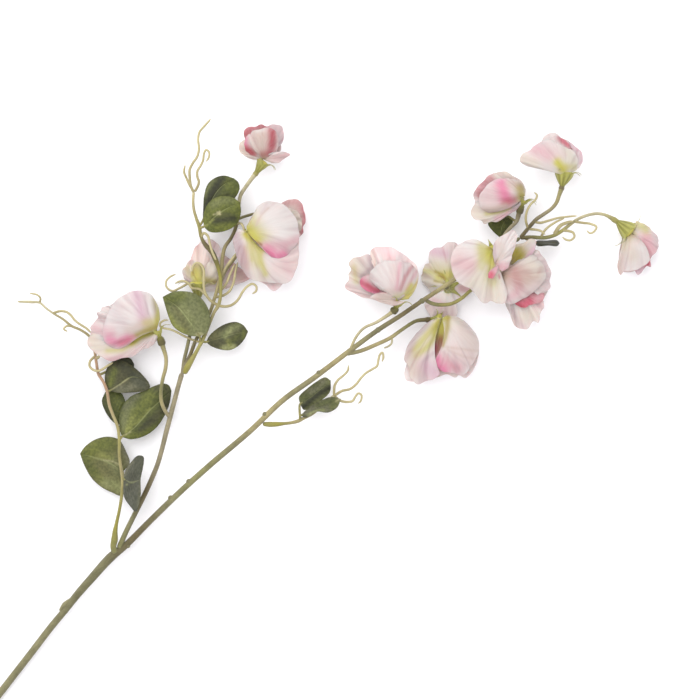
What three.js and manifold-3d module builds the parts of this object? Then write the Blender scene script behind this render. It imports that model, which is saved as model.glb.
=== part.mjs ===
// A cut spray of sweet pea lying on a table: two stems, three leafy twigs with tendrils,
// fourteen leaves and thirteen blooms. Millimetres, +Z up, the table is z = 0.
import * as THREE from 'three';
import { mergeVertices } from 'three/addons/utils/BufferGeometryUtils.js';
import Module from 'manifold-3d';

const wasm = await Module();
wasm.setup();
const { Manifold, Mesh } = wasm;

// ---- driving dimensions ---------------------------------------------------------------
const GRID_MM = 0.62; // one unit of the drawing grid on which routes and outlines are given
const GRID_MIDDLE = [296.2, 447.8]; // the grid point over the middle of the spray
const PETAL_MM = 0.7; // thickness of a petal
const LEAF_MM = 0.7; // thickness of a leaf blade
const SEPAL_MM = 0.7; // thickness of a calyx tooth
const SIMPLIFY_MM = [0.38, 0.32, 0.26, 0.2, 0.16, 0.12]; // facets flatter than this are merged
const GAP_MM = 0.4; // clearance between neighbouring pieces
const CLAW_MM = 2.2; // radius of the knot where a bloom's petals join
const LEAF_STALK_MM = 0.75; // radius of a leaf stalk
const CUP_FOOT_MM = 1.4; // radius of a calyx cup where its stalk enters
const CUP_SIDES = 8;
const SEPAL_COUNT = 5;
const SEPAL_LENGTH_MM = 8.5;
const SEPAL_WIDTH_MM = 3.0;
const FRILL_MM = 0.8; // wave height at a petal's margin
const FRILL_WAVES = 4;

// Petal and leaf meshes: cells across and along the blade.
const HOOD_CELLS = [7, 4];
const PETAL_CELLS = [6, 3];
const SMALL_PETAL_CELLS = [4, 3];
const LEAF_CELLS = [4, 5];
const SEPAL_CELLS = [1, 3];
const PETAL_START = 0.07; // the sheet starts this share of the way out from the claw
const ARCH_SKEW = 0.75; // below 1, the highest part of a petal lies nearer its claw
const DOME_POWER = 0.72; // below 1, a hood's top is flatter and its sides are steeper

const COLOURS = {
  stem: { color: 0x8d8a62, roughness: 0.6 },
  twig: { color: 0xb5a86c, roughness: 0.55 },
  leaf: { color: 0x5d6b38, roughness: 0.7 },
  calyx: { color: 0xa9ab45, roughness: 0.6 },
  petal: { color: 0xeedfe2, roughness: 0.8 },
};

// ---- the stems: routes as [across, down, height in mm] -----------------------------------
const MAIN_STEM = {
  route: [
    [-64, 775, 2.2], [2, 690, 4], [30, 654, 5.2], [50, 628, 6], [65, 610, 6.6], [76, 596, 7.2],
    [90, 580, 7.8], [110, 558, 8.8], [125, 546, 9.8], [150, 521, 11], [180, 492, 12.3],
    [210, 465, 13.6], [250, 431, 15.2], [283, 400, 16.7], [315, 377, 18.2], [352, 349, 20],
    [378, 330, 21.2], [400, 316, 22], [422, 301, 22.5], [445, 286, 22.4], [462, 275, 21],
    [480, 263, 19.5], [500, 250.5, 19.5], [520, 238, 19.5],
  ],
  radii: [2.2, 2.2, 2.2, 2.2, 2.15, 2.4, 2.6, 2.9, 2.1, 1.9, 1.9, 1.9, 1.8, 1.75, 1.7, 1.6, 1.5, 1.4,
    1.35, 1.3, 1.25, 1.2, 1.2, 1.2],
  sides: 7, steps: 40,
};
const LEAF_SCAR = { route: [[71, 599, 7.2], [63.5, 605.5, 7.2], [58.5, 612, 6.8]],
  radii: [0.8, 1.6, 0.8], sides: 5, steps: 2 };
const STEM_BUMPS = [[188.6, 481.8, 13], [170.4, 498.4, 12], [127, 546, 10], [265, 414.5, 16],
  [319, 373, 18.6], [378, 330, 21.4], [422, 301, 22.6]];
const STEM_BUMP_MM = 1.8;

const MAIN_STEM_BRANCHES = [
  // short stub that joins the two lower stalks, and the stalks of the right-hand blooms
  { route: [[346, 354, 19.5], [360, 351, 18.8], [375, 345, 18.2], [390, 338, 18], [400, 331, 17],
    [408, 325.5, 15], [416, 321, 12.5], [424, 319.8, 10.6], [430, 319.6, 9.6]], radii: [1.3, 1.3, 1.25,
    1.2, 1.1, 1.1, 1.15, 1.3, 1.5], sides: 5, steps: 12 },
  { route: [[350, 350, 20.5], [356, 337, 21.5], [364, 328, 21.8], [376, 322.5, 21.8], [388, 315, 22],
    [395.3, 309.5, 22]], radii: [0.9, 0.9, 0.9, 0.95, 1.1, 1.6], sides: 5, steps: 8 },
  { route: [[392, 337, 18.2], [391.5, 343.5, 17], [388, 346.5, 16.5], [384, 348, 16]], radii: [0.7, 0.6,
    0.6, 0.5], sides: 5, steps: 5 },
  { route: [[425, 300, 22], [432, 303.5, 20], [440, 304.8, 18], [452, 303.5, 17], [462, 298, 17],
    [470, 291, 17], [482, 283, 17.5], [490, 278.8, 18], [497, 275.6, 18.4]], radii: [1.2, 1.2, 1.2, 1.15,
    1.1, 1.1, 1.1, 1.2, 1.5], sides: 5, steps: 11 },
  { route: [[445, 286, 22.2], [447.4, 288.4, 18.9]], radii: [1.2, 1.4], sides: 5, steps: 2 },
  { route: [[492, 255.4, 19.5], [492, 252.4, 21.9]], radii: [1.1, 1.3], sides: 5, steps: 2 },
  { route: [[500, 250, 19.5], [504, 236, 19], [510, 228, 19], [516, 222, 19.5], [518.6, 214, 20],
    [520.6, 207.2, 20.7]], radii: [1.1, 1.1, 1.1, 1.2, 1.6, 1.8], sides: 5, steps: 7 },
  { route: [[520, 238, 19.5], [525, 232, 20], [530, 226, 20.5], [536, 219.5, 21], [544, 214, 21],
    [551, 209, 21], [556, 203, 20.6], [558.6, 196, 20.2], [560.8, 189.5, 20], [561.5, 187, 20]],
    radii: [1.2, 1.2, 1.2, 1.2, 1.15, 1.1, 1.2, 1.25, 1.6, 1.5], sides: 5, steps: 12 },
  { route: [[520, 238, 19.5], [530, 237.2, 19], [545, 237.6, 18], [555, 235, 17.5], [563, 230, 17],
    [570, 224.5, 16.5], [578, 219, 16], [588, 215, 15.6], [598, 213.5, 15], [606, 215, 14.2],
    [612, 218, 13.5], [617, 221, 13]], radii: [1.2, 1.2, 1.2, 1.1, 1.1, 1.05, 1.0, 1.0, 1.0, 1.0, 1.4,
    1.6], sides: 5, steps: 14 },
];
const TIP_TENDRILS = [
  { route: [[534, 222, 20.8], [540, 223, 21.5], [548, 221, 22], [556, 218.6, 22], [566, 217, 21],
    [577, 216, 20]], mm: [0.7, 0.5] },
  { route: [[541, 237, 18.4], [545, 230, 20], [555, 222.5, 21], [564, 218.5, 21.5]], mm: [0.7, 0.5] },
  { route: [[554, 235, 17.6], [560, 226, 18], [566, 223, 18.2], [574, 221, 18]], mm: [1.1, 0.7] },
  { route: [[574, 221.6, 17.6], [583, 223, 19], [590, 224, 20], [596, 227, 20.5], [594, 231.5, 20.5],
    [590, 233.4, 20.5], [586, 230.6, 20.5]], mm: [0.7, 0.5] },
  { route: [[563, 230.5, 17.2], [568, 231, 19], [573, 233, 20], [574, 237, 20.5], [570, 240.5, 20.5],
    [565, 239.5, 20], [562, 237, 20]], mm: [0.7, 0.5] },
  { route: [[528, 229, 20.3], [525.5, 221, 22], [526.4, 212, 23], [530, 205, 23.5], [535, 200, 24],
    [536.4, 195.6, 24], [533.4, 192.6, 24]], mm: [0.7, 0.5] },
  { route: [[528, 229, 20.3], [540, 231, 21.5], [545, 235, 22.3]], mm: [0.7, 0.5] },
];

const SIDE_STEM = {
  route: [[118, 549, 10.8], [126, 531, 11.2], [135, 513, 11.5], [143, 497, 11.7], [150, 482, 12],
    [157, 465, 12.5], [162, 448, 13],
    [166, 432, 13.5], [170, 417, 14], [174, 402, 14.4], [178, 387, 14.8], [182, 373, 15]],
  radii: [1.7, 1.6, 1.55, 1.55, 1.55, 1.5, 1.5, 1.55, 1.55, 1.5, 1.5, 1.6], sides: 6, steps: 14,
};
const SIDE_STEM_BRANCHES = [
  { route: [[182, 375, 14.8], [184, 360, 14.2], [187, 347, 13.6], [190, 333, 13.2], [193, 318, 12.4],
    [196, 306, 11.9], [198, 300, 11.7]], radii: [1.2, 1.2, 1.15, 1.1, 1.1, 1.2, 1.5], sides: 5,
    steps: 7 },
  { route: [[182, 372, 15.2], [190, 355, 15.8], [195, 342, 16], [203, 326, 16.2], [210, 312, 16.4],
    [214, 300, 16.6], [217, 290, 16.8], [219.5, 280, 17], [221.5, 270, 17.2], [222.4, 258, 17.2],
    [225, 247, 17], [231, 238, 16.4], [235.5, 228, 15.4], [237.5, 218, 14.2], [238.5, 206, 13.4],
    [240.5, 195, 13.6], [245.5, 187, 14.6], [251, 179.5, 15.8], [256, 173.2, 16.8]], radii: [1.2, 1.2,
    1.15, 1.1, 1.1, 1.1, 1.1, 1.15, 1.2, 1.2, 1.15, 1.1, 1.1, 1.1, 1.1, 1.2, 1.2, 1.3, 1.6], sides: 5,
    steps: 24 },
  { route: [[170, 418, 14], [165, 411, 15], [161.4, 402, 16], [161, 390, 17], [163, 378, 17.4],
    [165.6, 368, 17.5], [166, 358, 17.4], [163.6, 349, 17.2], [160.4, 339.5, 17]], radii: [1.3, 1.2, 1.15,
    1.1, 1.15, 1.2, 1.2, 1.4, 2.0], sides: 5, steps: 11 },
  { route: [[219.6, 284, 17], [225, 271, 15.4], [232, 261.5, 13.6], [238, 253, 12.6], [242, 245, 14],
    [243, 240, 17]], radii: [1.1, 1.1, 1.0, 1.0, 1.1, 1.3], sides: 5, steps: 7 },
  { route: [[237.4, 219, 14.4], [246, 215.5, 9], [256, 213, 6.6], [268, 213.5, 6], [277, 217, 6.6],
    [282.6, 219.4, 7.8]], radii: [0.9, 0.9, 0.9, 0.9, 0.95, 1.2], sides: 5, steps: 7 },
];
const SIDE_STEM_TENDRILS = [
  { route: [[221.5, 276, 17], [227, 266, 18.4], [233, 258, 18.6], [238, 251.5, 18]], mm: [0.8, 0.6] },
  { route: [[215.4, 297, 16.6], [222, 296, 17.4], [229, 291.6, 18], [233.4, 283, 18],
    [235.6, 271, 17.4], [237.6, 262, 16.8]], mm: [0.7, 0.6] },
  { route: [[218.4, 293, 16.8], [226, 284, 17.6], [230.6, 273, 17.8], [235, 264, 17.4]],
    mm: [0.7, 0.6] },
  { route: [[236.6, 224, 15], [240.6, 223.4, 17.4], [243.4, 227, 19.6], [244.2, 232, 21]],
    mm: [0.7, 0.6] },
];

// ---- the leafy twigs ----------------------------------------------------------------------
const TWIG_A = {
  tubes: [
    { route: [[114.4, 554, 10.4], [112.8, 547, 12], [114, 540, 12.8], [114.6, 532, 13], [116, 524, 13],
      [119, 510, 13], [121, 498, 13.2], [122.2, 480, 14], [121, 470, 14.2], [119, 455, 14.2],
      [119, 440, 14.2], [117.4, 427, 14], [112.6, 415, 13.8], [109, 405, 13.6], [106.6, 391, 13.4],
      [103, 382, 12.8], [98, 374, 12], [95.6, 362, 10.6], [93.6, 350, 9.2], [89, 337, 8.6], [80, 330, 9],
      [71, 326, 9.2], [62, 319, 9.2], [52, 313, 8.8], [45, 308, 8.6], [38.6, 302.6, 8.4],
      [30, 301.8, 8.2], [16, 301.4, 8]], radii: [2.0, 1.9, 2.2, 1.6, 1.1, 1.0, 1.0, 1.05, 1.0, 0.95, 1.0,
      1.0, 0.95, 0.95, 0.95, 0.9, 1.0, 0.9, 0.9, 0.85, 0.8, 0.8, 0.75, 0.7, 0.7, 0.7, 0.95, 0.7],
      sides: 5, steps: 40 },
  ],
  tendrils: [
    { route: [[38.6, 302.6, 8.4], [39.4, 298, 9], [36, 294.6, 9.4], [28, 293, 9.4]], mm: [0.6, 0.5] },
    { route: [[71, 326, 9.2], [66, 326, 10.4], [63, 329, 10.8], [67, 331.6, 10.8]], mm: [0.6, 0.5] },
    { route: [[52, 313, 8.8], [60, 311, 10.4], [66, 312, 11], [70, 315, 11.2], [74, 320, 11.2],
      [79, 324, 11], [86, 328.5, 10.4], [90.5, 333, 10]], mm: [0.7, 0.6] },
    { route: [[94.6, 356, 9.8], [89.6, 361, 11], [89, 366, 12], [92, 369.4, 12.8], [97.4, 371, 14.4],
      [102, 369.4, 14.6], [107, 366, 14.6], [113, 362.4, 14.4]], mm: [0.7, 0.6] },
    { route: [[95.4, 359, 10.2], [98.6, 356, 11], [99.4, 353.6, 11.6]], mm: [0.9, 0.7] },
  ],
};
const TWIG_B = {
  tubes: [
    { route: [[184.6, 374, 18.6], [187, 368, 18.8], [190.6, 361.6, 18.8], [195.4, 353.6, 18.6],
      [199, 347, 18.4], [202, 341, 18.2], [206, 332, 18], [210, 322, 18.2], [214.4, 312, 19],
      [218.4, 305.6, 20], [220.6, 297, 20.6], [221, 288, 21], [220.8, 279, 21.2], [219, 270, 21.4],
      [216.4, 261.4, 21.6], [212, 252, 21.6], [205.6, 245, 21.4], [201.4, 237, 21.2], [199.6, 227, 21],
      [196.4, 218, 20.8], [194, 209, 20.6], [193.4, 200, 20.4], [194, 192, 20.2]], radii: [1.3, 2.0, 1.8,
      1.2, 1.1, 1.3, 1.1, 1.05, 1.05, 1.2, 1.0, 1.0, 1.05, 1.2, 1.6, 1.7, 1.4, 1.0, 1.2, 0.95, 0.9, 0.85,
      0.9], sides: 5, steps: 29 },
  ],
  tendrils: [
    { route: [[194, 193, 20.2], [191, 186, 20.6], [190, 178, 21], [190, 170, 21.2], [193, 163.6, 21.2],
      [197.4, 157, 21], [199.2, 149, 20.8], [198.4, 140, 20.6], [199.6, 132.6, 20.4], [204, 127, 20.2],
      [208, 122.6, 20], [211, 119, 20]], mm: [0.75, 0.6] },
    { route: [[195, 192, 20.2], [198, 186, 19.4], [199, 182, 19], [197.4, 176.6, 18.6],
      [197.6, 171, 18.4], [200.6, 166, 18.2], [203.2, 160, 18], [204, 154, 18], [206, 150, 18],
      [209, 152, 18], [209, 157, 18], [206, 162, 18.2]], mm: [0.7, 0.55] },
    { route: [[194, 192, 20.2], [189.4, 184.6, 19], [186.4, 178, 18], [184.2, 171.6, 17.6],
      [185.2, 164.6, 17.4]], mm: [0.7, 0.55] },
    { route: [[186.6, 178.6, 18.2], [183, 171.4, 19]], mm: [0.55, 0.5] },
    { route: [[218.4, 305.6, 20], [225, 306.6, 20.6], [232, 305, 21], [238, 300, 21],
      [243, 291.6, 20.6], [248, 286, 20.2], [253, 284, 20], [256.6, 287, 20], [256, 291.4, 20],
      [252, 294, 20]], mm: [0.75, 0.55] },
    { route: [[218.4, 305.6, 20], [212, 301.6, 21], [207, 296, 21.6], [204.4, 289, 21.8],
      [204.2, 279, 21.6], [204, 270, 21.2], [201, 264.6, 21], [197, 263, 20.8], [193.4, 266, 20.6],
      [192, 272, 20.4]], mm: [0.75, 0.6] },
    { route: [[201, 238, 21.2], [204, 233.4, 22.2], [208, 236, 23], [210.4, 245, 23.4],
      [213.4, 254, 23.6], [216.6, 261, 22.8]], mm: [0.7, 0.6] },
    { route: [[202, 342, 18], [196, 341, 16.4], [186, 337, 17], [172, 330, 18], [161, 327, 18.6],
      [160.4, 323.4, 19], [164, 320.6, 19.4], [169, 320, 19.4]], mm: [0.6, 0.5] },
    { route: [[207, 296, 21.6], [200, 289.5, 19.6], [192, 288, 18.4], [188, 283, 18], [182, 281, 18],
      [174.6, 283.6, 18]], mm: [0.7, 0.55] },
    { route: [[188, 283.4, 18], [180, 288, 17.6], [172, 291, 17.6], [166.4, 286.6, 17.6],
      [166.4, 281, 17.6], [170, 277, 17.6], [176, 274, 17.6]], mm: [0.6, 0.5] },
  ],
};
const TWIG_C = {
  tubes: [
    { route: [[262.6, 424, 14.2], [270, 424.4, 14.4], [277, 424.2, 14.8], [284, 423.6, 15],
      [291, 422.8, 15.2], [298, 421, 15.6], [304, 418, 16], [312, 414, 15.4], [322, 406, 14.8],
      [329, 400, 14.6], [334, 395.4, 14.8]], radii: [1.3, 1.7, 1.5, 1.0, 1.0, 1.2, 1.0, 0.9, 0.8, 0.8,
      0.9], sides: 5, steps: 13 },
  ],
  tendrils: [
    { route: [[334, 396, 14.8], [334.6, 386, 15.6], [338, 380, 16], [344, 375, 16.2], [348, 370, 16.4],
      [348.4, 365, 16.6]], mm: [0.7, 0.55] },
    { route: [[334, 396, 14.8], [342, 391, 16], [350, 389, 16.6], [356, 384.4, 17], [361, 378, 17.2],
      [366, 373, 17.2], [372, 369.4, 17], [377, 366, 16.8], [378.4, 360, 16.6], [380, 354.6, 16.4],
      [382.4, 352.6, 16.2], [383.4, 357, 16], [382, 362, 16]], mm: [0.7, 0.55] },
    { route: [[334, 396, 14.8], [341, 401, 13.4], [348, 402, 13.4], [352.6, 401, 13.6],
      [355.4, 396.6, 14], [358.4, 393.4, 14.2], [361.4, 395, 14.4], [361, 400.6, 14.6], [358, 404, 14.8]],
      mm: [0.7, 0.55] },
  ],
};

// ---- the leaves: midrib, left and right margin from the base to the tip, and the stalk ---------
const LEAVES = [
  { name: 'leaf_a1', mid: [[122, 472, 10], [108, 463, 9.2], [94, 458, 8.4], [79, 454, 7.6]],
    left: [[129, 464, 9.4], [125, 451, 8.6], [118, 440, 8.2], [106, 437, 8], [94, 440, 8],
    [84, 447, 7.8]], right: [[128, 483, 9.4], [121, 496, 8.8], [111, 493, 8], [101, 488, 7.6],
    [91, 479, 7.4], [83, 465, 7.4]], stalk: [[122, 472, 10], [122.4, 475.5, 12], [122.2, 479, 14]] },
  { name: 'leaf_a2', mid: [[123.6, 479, 15.6], [132, 482, 23], [141.6, 479, 30]],
    left: [[125.6, 470, 16.4], [131, 462.6, 20], [138.4, 455.4, 25], [144.6, 456.6, 28.4]],
    right: [[124, 496, 17], [130.6, 506, 21], [136.6, 511, 25], [141.4, 497, 28.4]],
    stalk: [[123.6, 479, 15.6], [122.2, 478, 14]] },
  { name: 'leaf_a3', mid: [[121.4, 437, 12.6], [135, 427, 12.6], [150, 410, 12], [171, 391, 10.4]],
    left: [[119.4, 430, 12], [118.4, 418, 11], [122, 406, 10.4], [130, 396.6, 10], [142, 391.6, 10],
    [154, 386, 10], [163, 383.6, 10], [168.4, 385.6, 10.2]], right: [[130, 439.4, 12], [141, 437.4, 11.2],
    [151, 432, 11], [159, 424, 10.8], [165.4, 413, 10.6], [169.4, 402, 10.4]], stalk: [[121.4, 437, 12.6],
    [119.2, 440, 14]] },
  { name: 'leaf_a4', mid: [[117, 426, 8.6], [112, 411, 8], [104, 392.6, 6.6]], left: [[110, 420, 7.6],
    [104, 411, 6.8], [100.8, 401, 6.4]], right: [[122, 418, 7.6], [125, 404, 7], [119, 392, 6.6],
    [110, 388.6, 6.4]], stalk: [[117, 426, 8.6], [117.4, 428.6, 11], [117.6, 429, 13.6]] },
  { name: 'leaf_a5', mid: [[108.6, 391, 12.6], [119, 384.6, 12.4], [132, 377, 12], [148, 382, 11]],
    left: [[104.4, 381, 11.8], [106, 369, 11.2], [112, 361.4, 11], [122, 360.6, 11], [131, 365.4, 11],
    [140, 373, 11]], right: [[119, 393, 12], [134, 392.4, 11.4], [144.6, 391, 11], [149.6, 387, 10.8]],
    stalk: [[108.6, 391, 12.6], [106.6, 391, 13.2]] },
  { name: 'leaf_a6', mid: [[112, 368, 8.8], [122, 364.6, 9], [133.4, 364, 8]], left: [[114, 361, 8.4],
    [121, 358, 8], [129, 358, 8]], right: [[116, 374, 8.4], [124, 376, 8.2], [132, 371.6, 8]],
    stalk: [[112, 368, 8.8], [105, 372, 9.6], [98.6, 375, 11.8]] },
  { name: 'leaf_b1', mid: [[200, 336.6, 21.2], [190, 322, 22.8], [179, 308, 23], [163, 297, 21]],
    left: [[190, 335.6, 21], [180, 331.6, 21], [172.6, 325, 21], [168, 314, 21], [165, 304, 20.8]],
    right: [[206.4, 333, 20.8], [210, 323, 21.2], [209.6, 312, 21.8], [204, 301, 22.2], [196, 294, 22.2],
    [185, 291.4, 22], [173.4, 292, 21.4]], stalk: [[200, 336.6, 21.2], [200.6, 340, 19.8],
    [201.8, 341.8, 18.2]] },
  { name: 'leaf_b2', mid: [[206, 342, 17.4], [220, 338, 17], [234, 334, 16.4], [248, 331.6, 14.4]],
    left: [[210, 335, 16.6], [218, 328, 15.6], [227, 323.4, 15], [236, 322, 14.6], [243, 325, 14.4]],
    right: [[211, 346, 16.6], [220, 349.4, 15.8], [230, 350, 15], [238, 346, 14.6], [244, 339.6, 14.4]],
    stalk: [[206, 342, 17.4], [202.4, 341.6, 18]] },
  { name: 'leaf_b3', mid: [[203, 221, 20], [209, 205, 19.4], [220, 188, 18.6], [234, 178.4, 17.4]],
    left: [[203.4, 208, 19], [204.4, 195, 18.4], [208, 184, 18], [215, 178, 17.6], [224, 175.6, 17.4]],
    right: [[214, 216, 19], [226, 207, 18.4], [235, 198, 18], [239.6, 189, 17.6], [238.4, 182.6, 17.4]],
    stalk: [[203, 221, 20], [200.2, 225.6, 20.8]] },
  { name: 'leaf_b4', mid: [[204, 227, 22.8], [213, 219, 24.2], [225, 210, 24.4], [240.4, 203, 22.6]],
    left: [[204, 216, 23], [207, 206, 23.2], [214, 199, 23.2], [223, 196.4, 22.8], [232.6, 197.6, 22.6]],
    right: [[210, 232, 22.8], [219, 232.6, 22.8], [229, 230, 22.8], [237, 224.4, 22.6],
    [241, 213.6, 22.6]], stalk: [[204, 227, 22.8], [200.4, 228, 21.4]] },
  { name: 'leaf_c1', mid: [[300, 404, 13.6], [311, 397, 13], [322, 388, 12.4], [330.6, 380.6, 11]],
    left: [[299, 397, 13], [306, 389.6, 12], [316, 382, 11.4], [325, 377.4, 11]], right: [[304, 410, 13],
    [312, 407, 12.2], [322, 400, 11.8], [330, 391.6, 11.2]], stalk: [[300, 404, 13.6], [299.6, 412, 14.4],
    [300.4, 419.6, 15.4]] },
  { name: 'leaf_c2', mid: [[300.6, 415.6, 18], [312, 410.6, 18.6], [325, 405, 18.6], [341, 399, 17.4]],
    left: [[304.6, 411.4, 17], [312, 405.6, 16.6], [320, 401, 16.4], [331, 397, 16.6]],
    right: [[306, 417.6, 19.4], [317, 411.6, 21.6], [328, 412.4, 21.8], [337, 407.6, 19.6]],
    stalk: [[300.6, 415.6, 18], [299.8, 420, 16]] },
  { name: 'leaf_d1', mid: [[508, 216, 13], [503, 225, 12.4], [500, 237, 11]], left: [[497, 216, 12.4],
    [488.4, 223, 11.6], [493, 230.6, 11.2]], right: [[513, 219, 12.4], [511.6, 226.4, 11.8],
    [506, 233, 11.2]], stalk: [[508, 216, 13], [513, 219.4, 15], [517.4, 221.6, 18.6]] },
  { name: 'leaf_d2', mid: [[534, 243, 16], [547, 243, 14.6], [560, 243, 12.6]], left: [[538, 240.4, 12],
    [547, 240.2, 9], [557, 239.8, 8.6]], right: [[538, 246, 17.6], [548, 245.6, 18.6], [557, 246, 17]],
    stalk: [[534, 243, 16], [529, 240.4, 17], [524, 238, 19]] },
];

// ---- the blooms ---------------------------------------------------------------------------
// height: level of the claw above the table. Margin points of the petals are [across, down, mm above
// that level]. belly: how far the middle of a petal stands above (or hangs below) the flat sheet.
// sides: points that the two straight edges pass through half-way out.
const BLOOMS = [
  { name: 'bloom_01', height: 17, claw: [156.5, 330.5], calyx: { foot: [160, 338, 17],
    mouth: [157.6, 332.6, 17], mm: 2.6 },
    petals: [
      { part: 'standard', rim: [[157, 316, -3], [149, 298, -5], [136, 293, -6], [120, 299, -6],
        [104, 310, -4], [93, 325, -3], [90, 341, -2], [99, 351, -2], [114, 358, -3], [130, 355, -3],
        [146, 346, -2], [157, 338, -1]], belly: -12 },
      { part: 'lip', rim: [[93, 333, 5], [88.4, 339, 3], [88.4, 346, 2], [94, 352, 1], [104, 358, 1],
        [112, 361.5, 2], [122, 358, 2], [133, 356.5, 2], [142, 350, 2], [152, 346, 1], [161, 334, 0]],
        sides: [[126, 337, 2], null], belly: 3 },
      { part: 'ruffle', rim: [[113, 306, 2], [108, 305.6, 3], [103, 307, 3], [101.4, 311, 2],
        [97, 313, 3], [97.6, 318, 2], [94.6, 322.4, 2], [90.8, 327.6, 3], [93, 332.6, 3], [97, 337, 4],
        [104, 342, 4]], belly: 7, frill: 0.9 },
      { part: 'hood', rim: [[160, 319, 1], [158, 306, 2], [151, 295, 3], [139, 290.4, 3], [126, 294, 4],
        [113, 304.6, 5], [107.6, 316, 7], [103.6, 330, 7], [105, 342, 5], [112, 347.6, 4],
        [120, 348.6, 4], [128, 345.4, 3.4]], sides: [null, [143, 335, 3]], belly: 13 },
    ] },
  { name: 'bloom_02', height: 17.5, claw: [263.5, 159.4], calyx: { foot: [256.5, 172.4, 17],
    mouth: [263, 162.4, 17.4], mm: 3.8 },
    petals: [
      { part: 'standard', rim: [[246, 142, -1], [243.6, 135, 0], [244.6, 130, 1], [248, 127.4, 1],
        [255, 127, 2], [261, 124.8, 2], [267, 126, 2], [273, 124.2, 2], [279, 125, 2], [282.6, 129, 1],
        [284, 136, 0], [282, 143, -1], [277, 147.6, -1]], belly: 2 },
      { part: 'back', rim: [[246, 153, -2], [241, 148, -4], [246, 137, -6], [258, 131, -7],
        [271, 131, -7], [280, 140, -6], [280, 151, -4], [272, 158, -2]], belly: -7 },
      { part: 'hood', rim: [[277, 152, 2], [278.4, 142, 4], [276, 132, 6], [269, 128.4, 7],
        [260, 130, 8], [252, 133, 8], [250, 140, 9], [253, 148, 8], [258, 154, 6]], belly: 5 },
      { part: 'left_lobe', small: true, rim: [[255, 152, 4], [252, 140, 6], [249.6, 134.6, 6],
        [246, 138, 4], [244.6, 145, 3], [246, 151, 2], [250, 155, 2]], belly: 3 },
      { part: 'left_lip', small: true, rim: [[245.6, 139.6, 1], [240.6, 142, 1], [238.8, 148, 1],
        [241, 153, 1], [246.6, 157, 1], [252, 159.4, 1], [257, 160, 0]], belly: 1 },
      { part: 'right_lip', small: true, rim: [[268, 154.4, 4], [274, 152.6, 4], [279, 152, 4],
        [285, 152.6, 4], [290.6, 154.6, 4], [285, 158.4, 2], [279, 162.6, 1], [272, 163, 0]], belly: 1 },
    ] },
  { name: 'bloom_03', height: 23, claw: [247.6, 232.4], calyx: { foot: [243, 239, 17.5],
    mouth: [246.2, 234.2, 21], mm: 3 },
    petals: [
      { part: 'standard', rim: [[249, 222, -1], [253, 215, -3], [262, 206, -4], [278, 204, -5],
        [292, 213, -6], [298, 230, -6], [298, 250, -6], [294, 268, -5], [285, 282, -4], [274, 291, -3],
        [265, 284, -3], [252, 278, -4], [242, 266, -3], [237, 254, -2]], sides: [null, null],
        belly: -11 },
      { part: 'lip', rim: [[298, 242, 3], [299.4, 255, 3], [296.4, 268, 3], [292, 280, 3],
        [286, 283.6, 2], [274, 283, 2], [262, 282, 1], [252, 280, 0], [243, 270, 0], [237, 258, -1],
        [234, 246, -1], [234, 237, 0], [239, 229, 1]], sides: [[270, 252, 3], null], belly: 5, frill: 1 },
      { part: 'hood', rim: [[247, 226, 1], [254, 215, 2], [258, 207, 2], [267, 202.4, 3], [277, 203, 3],
        [288, 208, 4], [296, 219, 4], [299, 232, 5], [298, 243, 6], [291, 251, 6], [285, 259, 5],
        [277, 261.4, 5], [269, 255.6, 4]], sides: [null, [257, 242.6, 2.4]], belly: 12 },
    ] },
  { name: 'bloom_04', height: 11, claw: [286.6, 216.6], calyx: { foot: [283, 219.4, 8],
    mouth: [285.4, 217.6, 10], mm: 2.2 },
    petals: [
      { part: 'standard', small: true, rim: [[280.4, 204.6, -1], [283, 201.4, 0], [288, 199.6, 1],
        [295, 198.6, 1], [300, 200.6, 1], [303, 208, 1], [305.6, 218, 1], [303.4, 227, 1],
        [302.4, 233, 0], [298, 238, 0]], belly: 3 },
      { part: 'back', small: true, rim: [[281, 206, -2], [290, 202, -4], [299, 204, -5], [303, 216, -5],
        [301, 228, -4], [296, 236, -2]], belly: -5 },
      { part: 'wing', small: true, rim: [[284, 209, 3], [290, 208, 4], [297, 211, 4], [301, 218, 4],
        [302, 226, 3], [299, 232, 2]], belly: 3 },
    ] },
  { name: 'bloom_05', height: 11.7, claw: [199, 287], calyx: { foot: [198, 299, 11.7],
    mouth: [197.6, 283, 12.8], mm: 5.1 },
    petals: [
      { part: 'left_lobe', rim: [[190, 285, 0], [184, 279, -2], [182, 271, -3], [185, 265.4, -3],
        [190, 260, -2], [195, 262, 0]], belly: 2, small: true },
      { part: 'standard', rim: [[188.6, 268, -2], [190.6, 257, -3], [195, 247, -4], [201, 240.6, -4],
        [208, 238.8, -4], [214.6, 240.6, -4], [219, 246.6, -4], [221, 254, -3], [219, 264, -1]],
        belly: 3 },
      { part: 'right_lobe', rim: [[216, 256, -3], [223, 254, -4], [231, 260.4, -5], [240, 268, -6],
        [247.4, 273, -6], [250.4, 277, -6], [245, 281, -6], [236, 284, -6], [227, 288, -4],
        [216, 291, -3], [206, 291.6, -1]], belly: 3 },
      { part: 'bud', small: true, rim: [[205, 283, 2.6], [206, 275, 3.6], [203.4, 267, 3.6],
        [198, 263, 3.6], [193, 266.6, 3.6], [190.4, 275, 3.6], [191.4, 284, 2.6]], belly: 4, frill: 0.2 },
      { part: 'curl', small: true, rim: [[215, 284, 2.4], [219, 277, 3], [218.4, 269, 3.6],
        [213, 263, 3.8], [208, 262.6, 3.6], [205, 268, 3]], belly: 3.4, frill: 0.2 },
      { part: 'cup', rim: [[189, 282, -4], [186, 272, -8], [193, 258, -10], [203, 250, -11],
        [214, 252, -11], [226, 262, -11], [236, 272, -10], [228, 281, -8], [212, 286, -4]], belly: -3 },
    ] },
  { name: 'bloom_06', height: 22, claw: [398, 300.6], calyx: { foot: [395.4, 308.4, 22],
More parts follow.
